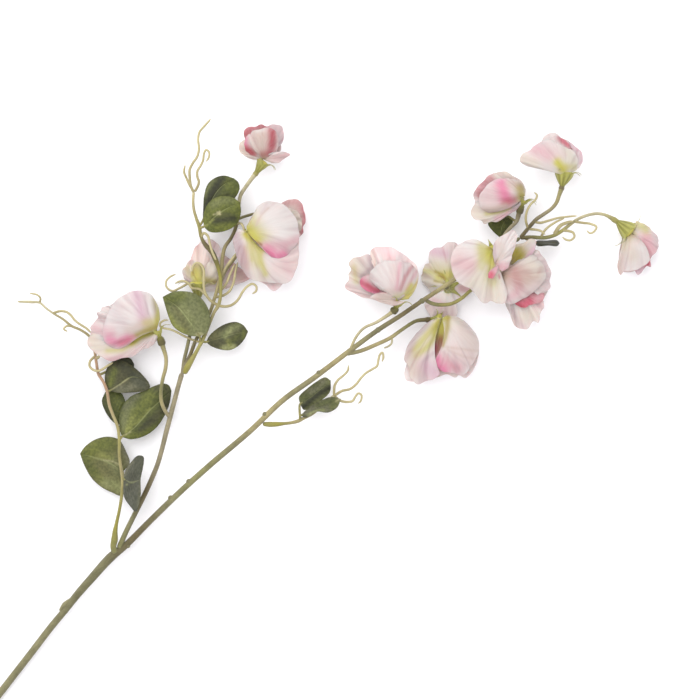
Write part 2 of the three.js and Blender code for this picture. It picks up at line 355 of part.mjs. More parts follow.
    mouth: [397.4, 302.8, 22], mm: 3.4 },
    petals: [
      { part: 'standard', rim: [[409, 299, -2], [415, 290, -2], [418.4, 278, -1], [417, 268, 0],
        [410, 259.4, 0], [400, 252, 1], [390, 247.6, 1], [377, 247, 2], [371, 250, 3], [370.6, 259, 4],
        [374, 268, 4]], belly: 3 },
      { part: 'back', rim: [[411, 296, -4], [417, 278, -6], [408, 260, -8], [390, 251, -9],
        [372, 255, -8], [356, 264, -7], [350, 278, -6], [352, 290, -4], [366, 296, -3], [384, 302, -2]],
        belly: -10 },
      { part: 'left_lip', rim: [[371, 262, 3], [369.6, 255, 2], [360, 256.4, 2], [353, 259, 2],
        [349, 264, 1], [350.6, 269, 1], [348, 274, 1], [349, 280, 0], [345, 285, 0], [346, 289, 0],
        [354, 293, -1], [362, 297.4, -1], [371, 298.6, -1]], sides: [[380, 280, 1], [384, 300, 0]],
        belly: -2, frill: 1.2 },
      { part: 'front_lip', small: true, claw: [398, 300.6, 2.2], rim: [[405, 295, 5], [400, 292.8, 6.4],
        [392, 293, 7.6], [382, 292.6, 7.6], [374, 294.4, 7], [369.4, 297.8, 4.6], [376, 300.6, 3.6],
        [384, 303.6, 4], [391, 305.6, 5], [398, 305.4, 5.4], [404, 302, 5]], belly: 1 },
      { part: 'hood', rim: [[417, 272, 3], [412, 265, 5], [402, 261.4, 7], [392, 261.4, 8],
        [385, 261, 8], [377.4, 265, 8], [372, 270, 7], [369.4, 277, 6], [373, 283, 5], [380, 290, 4]],
        sides: [[412, 288, 1], [390, 295, 4]], belly: 9 },
      { part: 'keel', small: true, rim: [[374, 274, 2.4], [366, 275.6, 2], [360.4, 279, 2],
        [360, 284, 2], [363.6, 289, 2], [369, 292, 2], [377, 292.8, 2]], belly: -0.6, frill: 0.2 },
    ] },
  { name: 'bloom_07', height: 12.4, claw: [449.2, 287], calyx: { foot: [448, 288.8, 18.4],
    mouth: [449, 287.4, 14], mm: 3.6 },
    petals: [
      { part: 'top', rim: [[464, 262, -6], [462, 250, -7], [455, 242, -7], [449, 241.4, -6],
        [442, 246.4, -6], [434, 248, -7], [430, 253, -8], [429, 260, -8], [432, 267, -7]], belly: 3 },
      { part: 'left', rim: [[432, 262, -7], [426, 264, -7], [423, 271, -8], [421.4, 278, -8],
        [425, 284, -8], [430, 290, -8], [433, 297, -7]], belly: 3, small: true },
      { part: 'bottom', rim: [[430, 298, -7], [425, 304, -8], [428, 312, -9], [433, 318.6, -9],
        [445, 321, -9], [455, 318, -9], [458.4, 311, -9], [454, 303, -8], [450, 297, -6]], belly: 3 },
      { part: 'right', rim: [[453, 300, -7], [463, 297, -8], [471, 290, -8], [472, 278, -8],
        [468, 265, -8]], belly: 3, small: true },
      { part: 'cup', rim: [[440, 262, -10], [432, 270, -11], [430, 285, -11], [436, 300, -11],
        [448, 306, -11], [460, 299, -11], [465, 284, -11], [460, 268, -11]], belly: -1, small: true },
    ] },
  { name: 'bloom_08', height: 15, claw: [442, 318.6], calyx: { foot: [431, 319.5, 9.4],
    mouth: [440, 318.4, 13], mm: 3 },
    petals: [
      { part: 'standard', rim: [[450, 316.4, -1], [464, 322, -3], [475, 333, -4], [479.4, 348, -4],
        [475.4, 366, -2], [466, 378.4, -2], [459, 375, -3], [456, 377.4, -3], [447, 374, -4],
        [436, 378, -4], [420, 382, -4], [406.6, 380.6, -2], [404.6, 373, -3], [407, 363, -4],
        [410, 346, -5], [417, 335, -4]], belly: -10 },
      { part: 'left', rim: [[440, 374.4, 3], [433, 379.4, 2], [424, 382, 2], [417, 384.2, 2],
        [411, 378, 1], [408, 366, 1], [404, 360, 1], [405.4, 352, 1], [409.4, 343, 0], [418, 332, 0],
        [429, 321.6, 0], [437, 317.6, 0]], sides: [[434.6, 346, 4], null], belly: 6 },
      { part: 'hood', rim: [[447, 315.4, 1], [457, 317, 2], [467, 323.4, 3], [474, 332, 4],
        [479, 342, 5], [478, 350, 5], [475, 359, 5], [470, 367, 4], [466, 374, 4], [460, 375, 4],
        [452, 373, 4], [444, 371.4, 4], [438, 368, 5], [434.4, 361, 5]], sides: [null, [443.4, 338, 7]],
        belly: 11 },
      { part: 'throat', small: true, rim: [[449, 325, 2], [448, 336, 3], [446, 348, 3], [442, 358, 3],
        [436, 362, 3], [432, 355, 2.6], [431.6, 345, 2.4], [432.4, 334, 1.6], [435, 325, 0.6]],
        belly: -1.4, frill: 0.2 },
    ] },
  { name: 'bloom_09', height: 29, claw: [492, 250], calyx: { foot: [492, 252.4, 22.4],
    mouth: [492, 250.6, 27], mm: 3.2 },
    petals: [
      { part: 'left', rim: [[487, 247.6, 1], [480, 242.4, 2], [474, 240, 3], [468, 240.4, 3],
        [462, 243, 3], [453, 250, 2], [450.4, 258, 2], [451, 267, 2], [453.6, 276, 2], [458, 283, 1],
        [464, 287, 0.6], [471, 287, 0.4]], sides: [null, [484, 268, 2.4]], belly: 5 },
      { part: 'bottom', rim: [[470, 286, 0], [476, 296, 1], [481, 302.4, 1], [485, 304, 1],
        [490, 301.4, 2], [496, 303.4, 2], [503, 302.6, 2], [507, 294, 3]], sides: [[484, 268, 2],
        [501, 272, 3.4]], belly: 3.4 },
      { part: 'back', rim: [[485, 247, 0], [470, 245, -1], [456, 254, -1], [456, 272, -1],
        [466, 285, -1], [480, 298, -1], [498, 299, -1], [503, 288, -1]], belly: -2 },
      { part: 'wing', claw: [494, 265, 3], rim: [[491.6, 254, 6], [493, 244, 8], [500, 237, 9],
        [506, 233.4, 9], [512, 231, 9], [515.4, 235, 9], [514.6, 244, 9], [511, 256, 8], [507, 267, 7],
        [501, 272.4, 6]], belly: 4 },
      { part: 'keel', small: true, claw: [497, 265.6, 7], rim: [[493.6, 268.6, 8], [489.4, 271, 8.4],
        [487, 275, 8.4], [488, 278.6, 8], [491.6, 279, 8], [494.4, 275.4, 7.6], [497, 270, 7]], belly: 1,
        frill: 0.2 },
    ] },
  { name: 'bloom_10', height: 21, claw: [507.4, 270.4], calyx: { foot: [498, 275, 18.4],
    mouth: [504.4, 272, 20.2], mm: 3 },
    petals: [
      { part: 'standard', rim: [[514, 260, -3], [533, 254, -5], [547, 267, -6], [549, 286, -6],
        [542, 303, -5], [534, 317, -5], [520, 322, -4], [508, 310, -3], [503, 296, -2]], belly: -10 },
      { part: 'ruffle', rim: [[519, 258, -1], [530, 252, 0], [536, 250, 0], [543, 257, 0],
        [548, 265, 0.4], [550.4, 274, 0.6], [549, 281, 1.4], [550.4, 287, 1.6], [545, 291.4, 2.4],
        [537, 295, 3]], belly: 3, frill: 1.1 },
      { part: 'lip', rim: [[543, 301, 1], [543.6, 308, 1], [540, 314, 1], [538, 323, 1], [533, 321, 0],
        [528, 328, 0], [522, 329.6, 0], [515, 326, -1], [510, 315, -1], [505, 303, -1]],
        sides: [[527, 285, 1], null], belly: 1, frill: 1 },
      { part: 'fold', rim: [[506, 266, 1.6], [512.6, 246, 3], [518, 244.4, 4], [524, 243, 5],
        [530, 239, 6], [535.4, 241, 5], [534, 250, 5], [530, 257, 4], [521, 268, 2]], belly: -1,
        small: true },
      { part: 'hood', claw: [500, 275, 3.4], rim: [[503, 265, 4], [509, 264.6, 4], [515, 265, 4],
        [521, 263.6, 3.6], [525, 259.4, 3.4], [531, 255, 3], [539, 260, 4], [544, 268, 5], [545, 277, 5],
        [540, 285, 6], [533, 292, 6], [526, 297, 6], [519, 301, 6], [511, 304.4, 5], [504.4, 302.4, 4],
        [500, 297, 3.6]], sides: [null, [499, 287, 3.4]], belly: 9 },
      { part: 'keel', small: true, claw: [515, 290, 2], rim: [[513.6, 303, 4.6], [518, 306.6, 4.6],
        [524, 307.8, 4.4], [531.6, 304.6, 3.6], [538.7, 303, 3], [543.6, 298.6, 2], [543.6, 293, 1.4]],
        belly: 0.6, frill: 0.2 },
    ] },
  { name: 'bloom_11', height: 22, claw: [524, 197], calyx: { foot: [521, 206, 21],
    mouth: [522.6, 201.6, 21.5], mm: 2.8 },
    petals: [
      { part: 'standard', rim: [[524, 187, 0], [520.4, 181, 1], [512, 176, 1], [505, 172, 2],
        [497, 173, 2], [489, 175.4, 2], [483, 181, 3], [476, 189, 3], [473, 196, 3], [475, 203, 3]],
        belly: 3 },
      { part: 'back', rim: [[523, 188, -2], [514, 179, -5], [500, 176, -6], [485, 183, -6],
        [476, 196, -6], [475, 211, -5], [484, 219, -4], [498, 218, -3], [512, 210, -2]], belly: -9 },
      { part: 'lip', rim: [[477, 201, 3], [472.4, 207, 2], [471, 213, 2], [474, 219.4, 1],
        [480, 221, 1], [483.6, 224, 1], [490, 222, 1], [497, 222, 1], [505, 217, 1], [515, 211, 0],
        [524, 204, 0]], sides: [[504, 208, 2], null], belly: 2 },
      { part: 'hood', rim: [[525, 190, 1], [521, 183.4, 4], [513, 180, 6], [502, 179, 7], [492, 182, 8],
        [484, 189, 8], [479, 196, 8], [478.4, 203, 7], [481.4, 209, 6], [488, 213, 4]], sides: [null,
        [508, 208.4, 3]], belly: 9 },
    ] },
  { name: 'bloom_12', height: 20, claw: [565, 176], calyx: { foot: [561.8, 186.4, 20],
    mouth: [564, 173, 20], mm: 6 },
    petals: [
      { part: 'back', rim: [[548, 168, -3], [534, 164, -5], [524, 157, -6], [534, 148, -7],
        [550, 139, -8], [566, 143, -7], [577, 155, -5], [577, 167, -3]], belly: -8 },
      { part: 'standard', rim: [[549, 169, 0], [534, 160, 1], [538, 147, 1], [541, 142, 1],
        [545, 136, 2], [550, 133.4, 2], [556, 134, 2], [561, 138, 2], [568, 141, 2], [575, 147, 1],
        [581.4, 153, 0], [582.6, 160, 0], [579, 168, -1]], belly: 2 },
      { part: 'wing', small: true, rim: [[548, 140, 4], [554, 136.6, 5], [559, 137.4, 5],
        [566, 142.4, 5], [572, 149, 4]], belly: 6 },
      { part: 'hood', rim: [[551, 170.4, 0.6], [536, 168, 1], [526, 166, 1], [519.4, 161, 2],
        [522, 154.4, 3], [530, 150.6, 4], [533.6, 146.6, 5], [541, 142.4, 6], [550, 140.4, 6],
        [557, 142, 6], [564, 146, 6], [571, 150.6, 5], [576.4, 157, 4], [577.4, 164, 2],
        [576, 170.4, 0.6]], belly: 9 },
    ] },
  { name: 'bloom_13', height: 12, claw: [630.6, 232.4], calyx: { foot: [617.6, 221.4, 13],
    mouth: [629.6, 231, 12.2], mm: 6 },
    petals: [
      { part: 'back', rim: [[622, 242, -3], [620, 256, -5], [621, 270, -6], [634, 271, -7],
        [646, 264, -7], [655, 250, -6], [656, 236, -5], [649, 227, -3], [640, 222, -1]], belly: -9 },
      { part: 'standard', rim: [[634, 268, 0], [638.6, 274.6, 0], [644, 270, 0], [647, 265.4, 0],
        [651.4, 267, 0], [651, 257, 0], [654, 246, 0]], belly: 1 },
      { part: 'right', rim: [[650, 259, 3], [653, 255.4, 3], [657, 251, 3], [659, 244, 2],
        [657.6, 236, 1], [653, 231, 1], [650, 227, 0], [643, 223, 0], [637, 221, 0]],
        sides: [[642, 243, 4], null], belly: 5 },
      { part: 'front', rim: [[623.4, 238, 1], [622, 247, 1], [619.6, 257, 1], [618, 267, 1],
        [621, 275.4, 2], [624, 272, 3], [630, 270.4, 4], [636, 270, 5], [641, 267.4, 5], [645, 265, 5],
        [650, 260, 4], [651, 256, 3]], sides: [null, [643.6, 241, 3]], belly: 7 },
    ] },
];

// ---- geometry helpers -----------------------------------------------------------------------
const at = ([across, down, height]) =>
  new THREE.Vector3((across - GRID_MIDDLE[0]) * GRID_MM, (GRID_MIDDLE[1] - down) * GRID_MM, height);

const curveThrough = (points) => new THREE.CatmullRomCurve3(points.map(at), false, 'centripetal');

function solidFromTriangles(positions, triangles) {
  const p = positions;
  let sixVolumes = 0;
  for (const [a, b, c] of triangles) {
    sixVolumes += p[a].dot(new THREE.Vector3().crossVectors(p[b], p[c]));
  }
  const faces = sixVolumes > 0 ? triangles : triangles.map(([a, b, c]) => [a, c, b]);
  return new Manifold(new Mesh({
    numProp: 3,
    vertProperties: new Float32Array(p.flatMap((q) => [q.x, q.y, q.z])),
    triVerts: new Uint32Array(faces.flat()),
  }));
}

function solidFromGeometry(geometry) {
  const bare = geometry.clone();
  bare.deleteAttribute('normal');
  bare.deleteAttribute('uv');
  const merged = mergeVertices(bare, 1e-4);
  const position = merged.getAttribute('position');
  const points = [];
  for (let i = 0; i < position.count; i += 1) {
    points.push(new THREE.Vector3().fromBufferAttribute(position, i));
  }
  const index = merged.getIndex().array;
  const triangles = [];
  for (let i = 0; i < index.length; i += 3) {
    const [a, b, c] = [index[i], index[i + 1], index[i + 2]];
    if (a !== b && b !== c && c !== a) triangles.push([a, b, c]);
  }
  return solidFromTriangles(points, triangles);
}

// A closed blade: a surface point(u, v) thickened to both sides, and grown on all sides.
function blade(cellsAcross, cellsAlong, thickness, grow, point) {
  const columns = cellsAcross + 1;
  const rows = cellsAlong + 1;
  const middle = [];
  for (let j = 0; j < rows; j += 1) {
    for (let i = 0; i < columns; i += 1) middle.push(point(i / cellsAcross, j / cellsAlong));
  }
  const grid = (i, j) => middle[j * columns + i];
  const clamp = (value, top) => Math.min(Math.max(value, 0), top);
  const upper = [];
  const lower = [];
  for (let j = 0; j < rows; j += 1) {
    for (let i = 0; i < columns; i += 1) {
      const left = clamp(i - 1, cellsAcross);
      const right = clamp(i + 1, cellsAcross);
      const down = clamp(j - 1, cellsAlong);
      const up = clamp(j + 1, cellsAlong);
      const across = grid(right, j).clone().sub(grid(left, j));
      const along = grid(i, up).clone().sub(grid(i, down));
      const normal = across.clone().cross(along).normalize().multiplyScalar(thickness / 2 + grow);
      // points on the border also move out in the plane of the blade
      const outward = across.normalize().multiplyScalar(grow * (2 * i - left - right));
      outward.addScaledVector(along.normalize(), grow * (2 * j - down - up));
      upper.push(grid(i, j).clone().add(outward).add(normal));
      lower.push(grid(i, j).clone().add(outward).sub(normal));
    }
  }
  const under = columns * rows;
  const triangles = [];
  for (let j = 0; j < cellsAlong; j += 1) {
    for (let i = 0; i < cellsAcross; i += 1) {
      const a = j * columns + i;
      const b = a + 1;
      const c = a + columns;
      const d = c + 1;
      triangles.push([a, b, d], [a, d, c], [under + a, under + d, under + b],
        [under + a, under + c, under + d]);
    }
  }
  const border = [];
  for (let i = 0; i < cellsAcross; i += 1) border.push(i);
  for (let j = 0; j < cellsAlong; j += 1) border.push(j * columns + cellsAcross);
  for (let i = cellsAcross; i > 0; i -= 1) border.push(cellsAlong * columns + i);
  for (let j = cellsAlong; j > 0; j -= 1) border.push(j * columns);
  border.forEach((from, k) => {
    const to = border[(k + 1) % border.length];
    triangles.push([from, under + from, under + to], [from, under + to, to]);
  });
  return solidFromTriangles([...upper, ...lower], triangles);
}

// A tapering round tube along a route, closed at both ends.
function tube({ route, radii, sides, steps }, grow = 0) {
  const curve = curveThrough(route);
  const frames = curve.computeFrenetFrames(steps, false);
  const points = [];
  const triangles = [];
  for (let k = 0; k <= steps; k += 1) {
    const t = curve.getUtoTmapping(k / steps);
    const place = t * (radii.length - 1);
    const low = Math.min(Math.floor(place), radii.length - 2);
    const radius = THREE.MathUtils.lerp(radii[low], radii[low + 1], place - low) + grow;
    const centre = curve.getPoint(t);
    if (grow > 0 && k === 0) centre.addScaledVector(frames.tangents[0], -grow);
    if (grow > 0 && k === steps) centre.addScaledVector(frames.tangents[steps], grow);
    for (let s = 0; s < sides; s += 1) {
      const angle = (2 * Math.PI * s) / sides;
      points.push(centre.clone()
        .addScaledVector(frames.normals[k], radius * Math.cos(angle))
        .addScaledVector(frames.binormals[k], radius * Math.sin(angle)));
    }
  }
  for (let k = 0; k < steps; k += 1) {
    for (let s = 0; s < sides; s += 1) {
      const a = k * sides + s;
      const b = k * sides + ((s + 1) % sides);
      triangles.push([a, b, b + sides], [a, b + sides, a + sides]);
    }
  }
  const last = steps * sides;
  for (let s = 1; s < sides - 1; s += 1) {
    triangles.push([0, s + 1, s], [last, last + s, last + s + 1]);
  }
  return solidFromTriangles(points, triangles);
}

const TENDRIL_SIDES = 4;
const tendril = ({ route, mm }, grow) =>
  tube({ route, radii: mm, sides: TENDRIL_SIDES, steps: Math.max(3,
    route.length) }, grow);

function ball(centre, radius, detail = 1) {
  return solidFromGeometry(new THREE.IcosahedronGeometry(radius, detail).translate(centre.x,
    centre.y, centre.z));
}

const joined = (solids) => Manifold.union(solids);

// ---- the pieces, each as a function of how much it is grown on all sides ------------------------
function mainStem(grow) {
  const bumps = STEM_BUMPS.map((bump) => ball(at(bump), STEM_BUMP_MM + grow, 0));
  return joined([
    tube(MAIN_STEM, grow), tube(LEAF_SCAR, grow), ...bumps,
    ...MAIN_STEM_BRANCHES.map((branch) => tube(branch, grow)),
    ...TIP_TENDRILS.map((item) => tendril(item, grow)),
  ]);
}

function sideStem(grow) {
  return joined([
    tube(SIDE_STEM, grow),
    ...SIDE_STEM_BRANCHES.map((branch) => tube(branch, grow)),
    ...SIDE_STEM_TENDRILS.map((item) => tendril(item, grow)),
  ]);
}

const twig = (data) => (grow) =>
  joined([...data.tubes.map((item) => tube(item, grow)), ...data.tendrils.map((item) => tendril(item,
    grow))]);

const leaf = (data) => (grow) => {
  const base = data.mid[0];
  const tip = data.mid[data.mid.length - 1];
  const rib = curveThrough(data.mid);
  const left = curveThrough([base, ...data.left, tip]);
  const right = curveThrough([base, ...data.right, tip]);
  // s runs from the base to the tip, w from the left margin over the midrib to the right margin
  const surface = (w, s) => {
    const along = 0.03 + 0.94 * s;
    const across = 2 * w - 1;
    const edge = (across < 0 ? left : right).getPointAt(along);
    return rib.getPointAt(along).lerp(edge, Math.abs(across));
  };
  // the stalk runs a little way into the blade along the midrib
  const inBlade = data.mid[1].map((value, k) => 0.25 * value + 0.75 * base[k]);
  const stalk = { route: [inBlade, ...data.stalk], radii: [LEAF_STALK_MM, LEAF_STALK_MM], sides: 4,
    steps: 3 };
  return joined([blade(LEAF_CELLS[0], LEAF_CELLS[1], LEAF_MM, grow, surface), tube(stalk, grow)]);
};

// The surface of a petal: u runs along its margin, v from the claw to the margin.
function petalSurface(petal, bloom) {
  const lift = ([across, down, height]) => at([across, down, bloom.height + height]);
  const claw = lift(petal.claw ?? [...bloom.claw, 0]);
  const rim = new THREE.CatmullRomCurve3(petal.rim.map(lift), false, 'centripetal');
  const ends = [rim.getPoint(0), rim.getPoint(1)];
  const bends = [0, 1].map((k) => {
    const through = petal.sides?.[k];
    return through ? lift(through).sub(claw.clone().lerp(ends[k], 0.5)) : new THREE.Vector3();
  });
  const frill = petal.frill ?? FRILL_MM;
  const power = petal.part === 'hood' ? DOME_POWER : 1;
  return (u, v) => {
    const out = PETAL_START + (1 - PETAL_START) * v;
    const point = claw.clone().lerp(rim.getPointAt(u), out);
    const sag = 4 * out * (1 - out);
    point.addScaledVector(bends[0], sag * (1 - u) ** 2);
    point.addScaledVector(bends[1], sag * u ** 2);
    const arch = Math.max(0, Math.sin(Math.PI * out ** ARCH_SKEW)) ** power;
    const span = 0.3 + 0.7 * Math.max(0, Math.sin(Math.PI * u)) ** power;
    point.z += petal.belly * arch * span;
    point.z += frill * out ** 4 * Math.sin(2 * Math.PI * FRILL_WAVES * u);
    return point;
  };
}

function petalCells(petal) {
  if (petal.part === 'hood') return HOOD_CELLS;
  return petal.small ? SMALL_PETAL_CELLS : PETAL_CELLS;
}

const petals = (bloom) => (grow) => {
  const knots = [at([...bloom.claw, bloom.height])];
  const sheets = bloom.petals.map((petal) => {
    if (petal.claw) knots.push(at([petal.claw[0], petal.claw[1], bloom.height + petal.claw[2]]));
    const [across, along] = petalCells(petal);
    return blade(across, along, PETAL_MM, grow, petalSurface(petal, bloom));
  });
  return joined([...sheets, ...knots.map((knot) => ball(knot, CLAW_MM + grow, 0))]);
};

// A cone-shaped cup with five pointed teeth that roll back from its mouth.
const calyx = ({ foot, mouth, mm }) => (grow) => {
  const base = at(foot);
  const top = at(mouth);
  const axis = top.clone().sub(base);
  const length = axis.length();
  const turn = new THREE.Quaternion().setFromUnitVectors(new THREE.Vector3(0, 1, 0),
    axis.clone().normalize());
  const profile = [
    [0, -grow], [CUP_FOOT_MM + grow, -grow], [mm * 0.56 + grow, length * 0.35],
    [mm * 0.88 + grow, length * 0.75], [mm + grow, length + grow], [0, length + grow],
  ];
  const cup = new THREE.LatheGeometry(profile.map(([r, h]) => new THREE.Vector2(r, h)), CUP_SIDES);
  cup.applyQuaternion(turn).translate(base.x, base.y, base.z);
  const teeth = [];
  for (let k = 0; k < SEPAL_COUNT; k += 1) {
    const around = (2 * Math.PI * (k + 0.5)) / SEPAL_COUNT;
    const surface = (w, s) => {
      // the tooth leaves the cup steeply and its tip rolls over backwards
      const opening = THREE.MathUtils.lerp(0.9, 2.5, s);
      const reach = mm * 0.7 + SEPAL_LENGTH_MM * (1 - Math.cos(opening * s * 0.8)) * 0.55 + s * 2.2;
      const rise = length * 0.72 + SEPAL_LENGTH_MM * 0.42 * Math.sin(opening * s);
      const half = 0.5 * SEPAL_WIDTH_MM * (1 - s) ** 0.7 + 0.12;
      const side = (2 * w - 1) * half;
      const local = new THREE.Vector3(
        reach * Math.cos(around) - side * Math.sin(around), rise,
          reach * Math.sin(around) + side * Math.cos(around));
      return local.applyQuaternion(turn).add(base);
    };
    teeth.push(blade(SEPAL_CELLS[0], SEPAL_CELLS[1], SEPAL_MM, grow, surface));
  }
  return joined([solidFromGeometry(cup), ...teeth]);
};

// ---- the spray: later pieces are cut back to leave the gap round earlier ones -------------------
const PIECES = [
  ['main_stem', COLOURS.stem, mainStem],
  ['side_stem', COLOURS.stem, sideStem],
  ['twig_a', COLOURS.twig, twig(TWIG_A)],
  ['twig_b', COLOURS.twig, twig(TWIG_B)],
  ['twig_c', COLOURS.twig, twig(TWIG_C)],
  ...BLOOMS.map((bloom) => [`${bloom.name}_petals`, COLOURS.petal, petals(bloom)]),
  ...BLOOMS.map((bloom) => [`${bloom.name}_calyx`, COLOURS.calyx, calyx(bloom.calyx)]),
  ...LEAVES.map((item) => [item.name, COLOURS.leaf, leaf(item)]),
];

const boxesMeet = (a, b, margin) =>
  [0, 1, 2].every((k) => a.min[k] - margin < b.max[k] && b.min[k] - margin < a.max[k]);

const largestBody = (solid) =>
  solid.decompose().reduce((best, body) => (body.volume() > best.volume() ? body : best));

// Cuts the box round what two pieces still share out of the later one.
function cleared(solid, other) {
  const shared = solid.intersect(other);
  if (shared.isEmpty()) return solid;
  const { min, max } = shared.boundingBox();
  const size = max.map((value, k) => value - min[k] + 2 * GAP_MM);
  return solid.subtract(Manifold.cube(size).translate(min.map((value) => value - GAP_MM)));
}

// Whether every edge has two faces once corners at the same place count as one.
function isSound(solid) {
  const { vertProperties, triVerts } = solid.getMesh();
  const places = new Map();
  const place = (vertex) => {
    const key = Array.from(vertProperties.subarray(3 * vertex, 3 * vertex + 3),
      (v) => v.toFixed(3)).join();
    if (!places.has(key)) places.set(key, places.size);
    return places.get(key);
  };
  const edges = new Map();
  for (let i = 0; i < triVerts.length; i += 3) {
    const corners = [place(triVerts[i]), place(triVerts[i + 1]), place(triVerts[i + 2])];
    if (new Set(corners).size < 3) continue;
    corners.forEach((from, k) => {
      const to = corners[(k + 1) % 3];
      const key = `${Math.min(from, to)}_${Math.max(from, to)}`;
      edges.set(key, (edges.get(key) ?? 0) + 1);
    });
  }
  return [...edges.values()].every((faces) => faces === 2);
}

const spray = new THREE.Group();
const earlier = [];
for (const [name, material, build] of PIECES) {
  let solid = build(0);
  const box = solid.boundingBox();
  const near = earlier.filter((other) => boxesMeet(box, other.box, GAP_MM));
  for (const other of near) {
    other.grown ??= other.build(GAP_MM);
    solid = solid.subtract(other.grown);
  }
  const whole = largestBody(solid).asOriginal();
  for (const tolerance of SIMPLIFY_MM) {
    solid = whole.simplify(tolerance);
    for (const other of near) solid = cleared(solid, other.solid);
    solid = largestBody(solid);
    if (isSound(solid)) break;
  }
  const { vertProperties, triVerts } = solid.getMesh();
  const geometry = new THREE.BufferGeometry();
  geometry.setAttribute('position', new THREE.BufferAttribute(new Float32Array(vertProperties), 3));
  geometry.setIndex(new THREE.BufferAttribute(new Uint32Array(triVerts), 1));
  geometry.computeVertexNormals();
  const mesh = new THREE.Mesh(geometry, new THREE.MeshStandardMaterial({ ...material, metalness: 0 }));
  mesh.name = name;
  spray.add(mesh);
  earlier.push({ name, build, box, solid });
}

export default spray;
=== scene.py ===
import math

import bpy
import numpy as np
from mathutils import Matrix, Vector


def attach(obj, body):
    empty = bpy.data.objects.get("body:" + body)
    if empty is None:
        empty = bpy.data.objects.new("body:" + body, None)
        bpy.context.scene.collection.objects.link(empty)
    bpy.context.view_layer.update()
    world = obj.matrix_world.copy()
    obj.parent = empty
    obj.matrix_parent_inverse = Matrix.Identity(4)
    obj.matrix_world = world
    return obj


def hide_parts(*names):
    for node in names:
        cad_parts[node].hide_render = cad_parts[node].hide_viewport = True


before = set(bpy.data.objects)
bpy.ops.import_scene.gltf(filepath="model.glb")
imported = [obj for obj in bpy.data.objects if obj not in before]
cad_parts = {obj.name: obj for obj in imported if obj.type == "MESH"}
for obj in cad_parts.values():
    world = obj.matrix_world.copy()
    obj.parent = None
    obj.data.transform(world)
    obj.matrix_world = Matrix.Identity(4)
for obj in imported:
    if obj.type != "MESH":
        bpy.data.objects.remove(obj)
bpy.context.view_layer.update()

# A cut spray of sweet pea that lies on a table, seen from straight above.
# Points are places on one drawing grid: (across, down, height in mm). Radii, widths and thicknesses
# are in mm. The same points and formulas make the plain solids of the CAD model.
MM = 0.001
GRID_MM = 0.62  # one step of the grid
GRID_MIDDLE = (296.2, 447.8)  # grid place at the origin of the frame
PICTURE_MIDDLE = (350.0, 350.0)  # grid place under the camera
PICTURE_STEPS = 700  # width of the picture on the grid

# ---- the stems: points of the route, then radii at even steps along it ---------------------
MAIN_STEM = ([(-64, 775, 2.2), (2, 690, 4), (30, 654, 5.2), (50, 628, 6), (65, 610, 6.6), (76, 596, 7.2),
    (90, 580, 7.8), (110, 558, 8.8), (125, 546, 9.8), (150, 521, 11), (180, 492, 12.3), (210, 465, 13.6),
    (250, 431, 15.2), (283, 400, 16.7), (315, 377, 18.2), (352, 349, 20), (378, 330, 21.2), (400, 316, 22),
    (422, 301, 22.5), (445, 286, 22.4), (462, 275, 21), (480, 263, 19.5), (500, 250.5, 19.5),
    (520, 238, 19.5)], [2.2, 2.2, 2.2, 2.2, 2.15, 2.4, 2.6, 2.9, 2.1, 1.9, 1.9, 1.9, 1.8, 1.75, 1.7, 1.6, 1.5,
    1.4, 1.35, 1.3, 1.25, 1.2, 1.2, 1.2])
LEAF_SCAR = ([(71, 599, 7.2), (63.5, 605.5, 7.2), (58.5, 612, 6.8)], [0.8, 1.6, 0.8])
STEM_BUMPS = [(188.6, 481.8, 13), (170.4, 498.4, 12), (127, 546, 10), (265, 414.5, 16), (319, 373, 18.6),
    (378, 330, 21.4), (422, 301, 22.6)]
STEM_BUMP_MM = 1.8
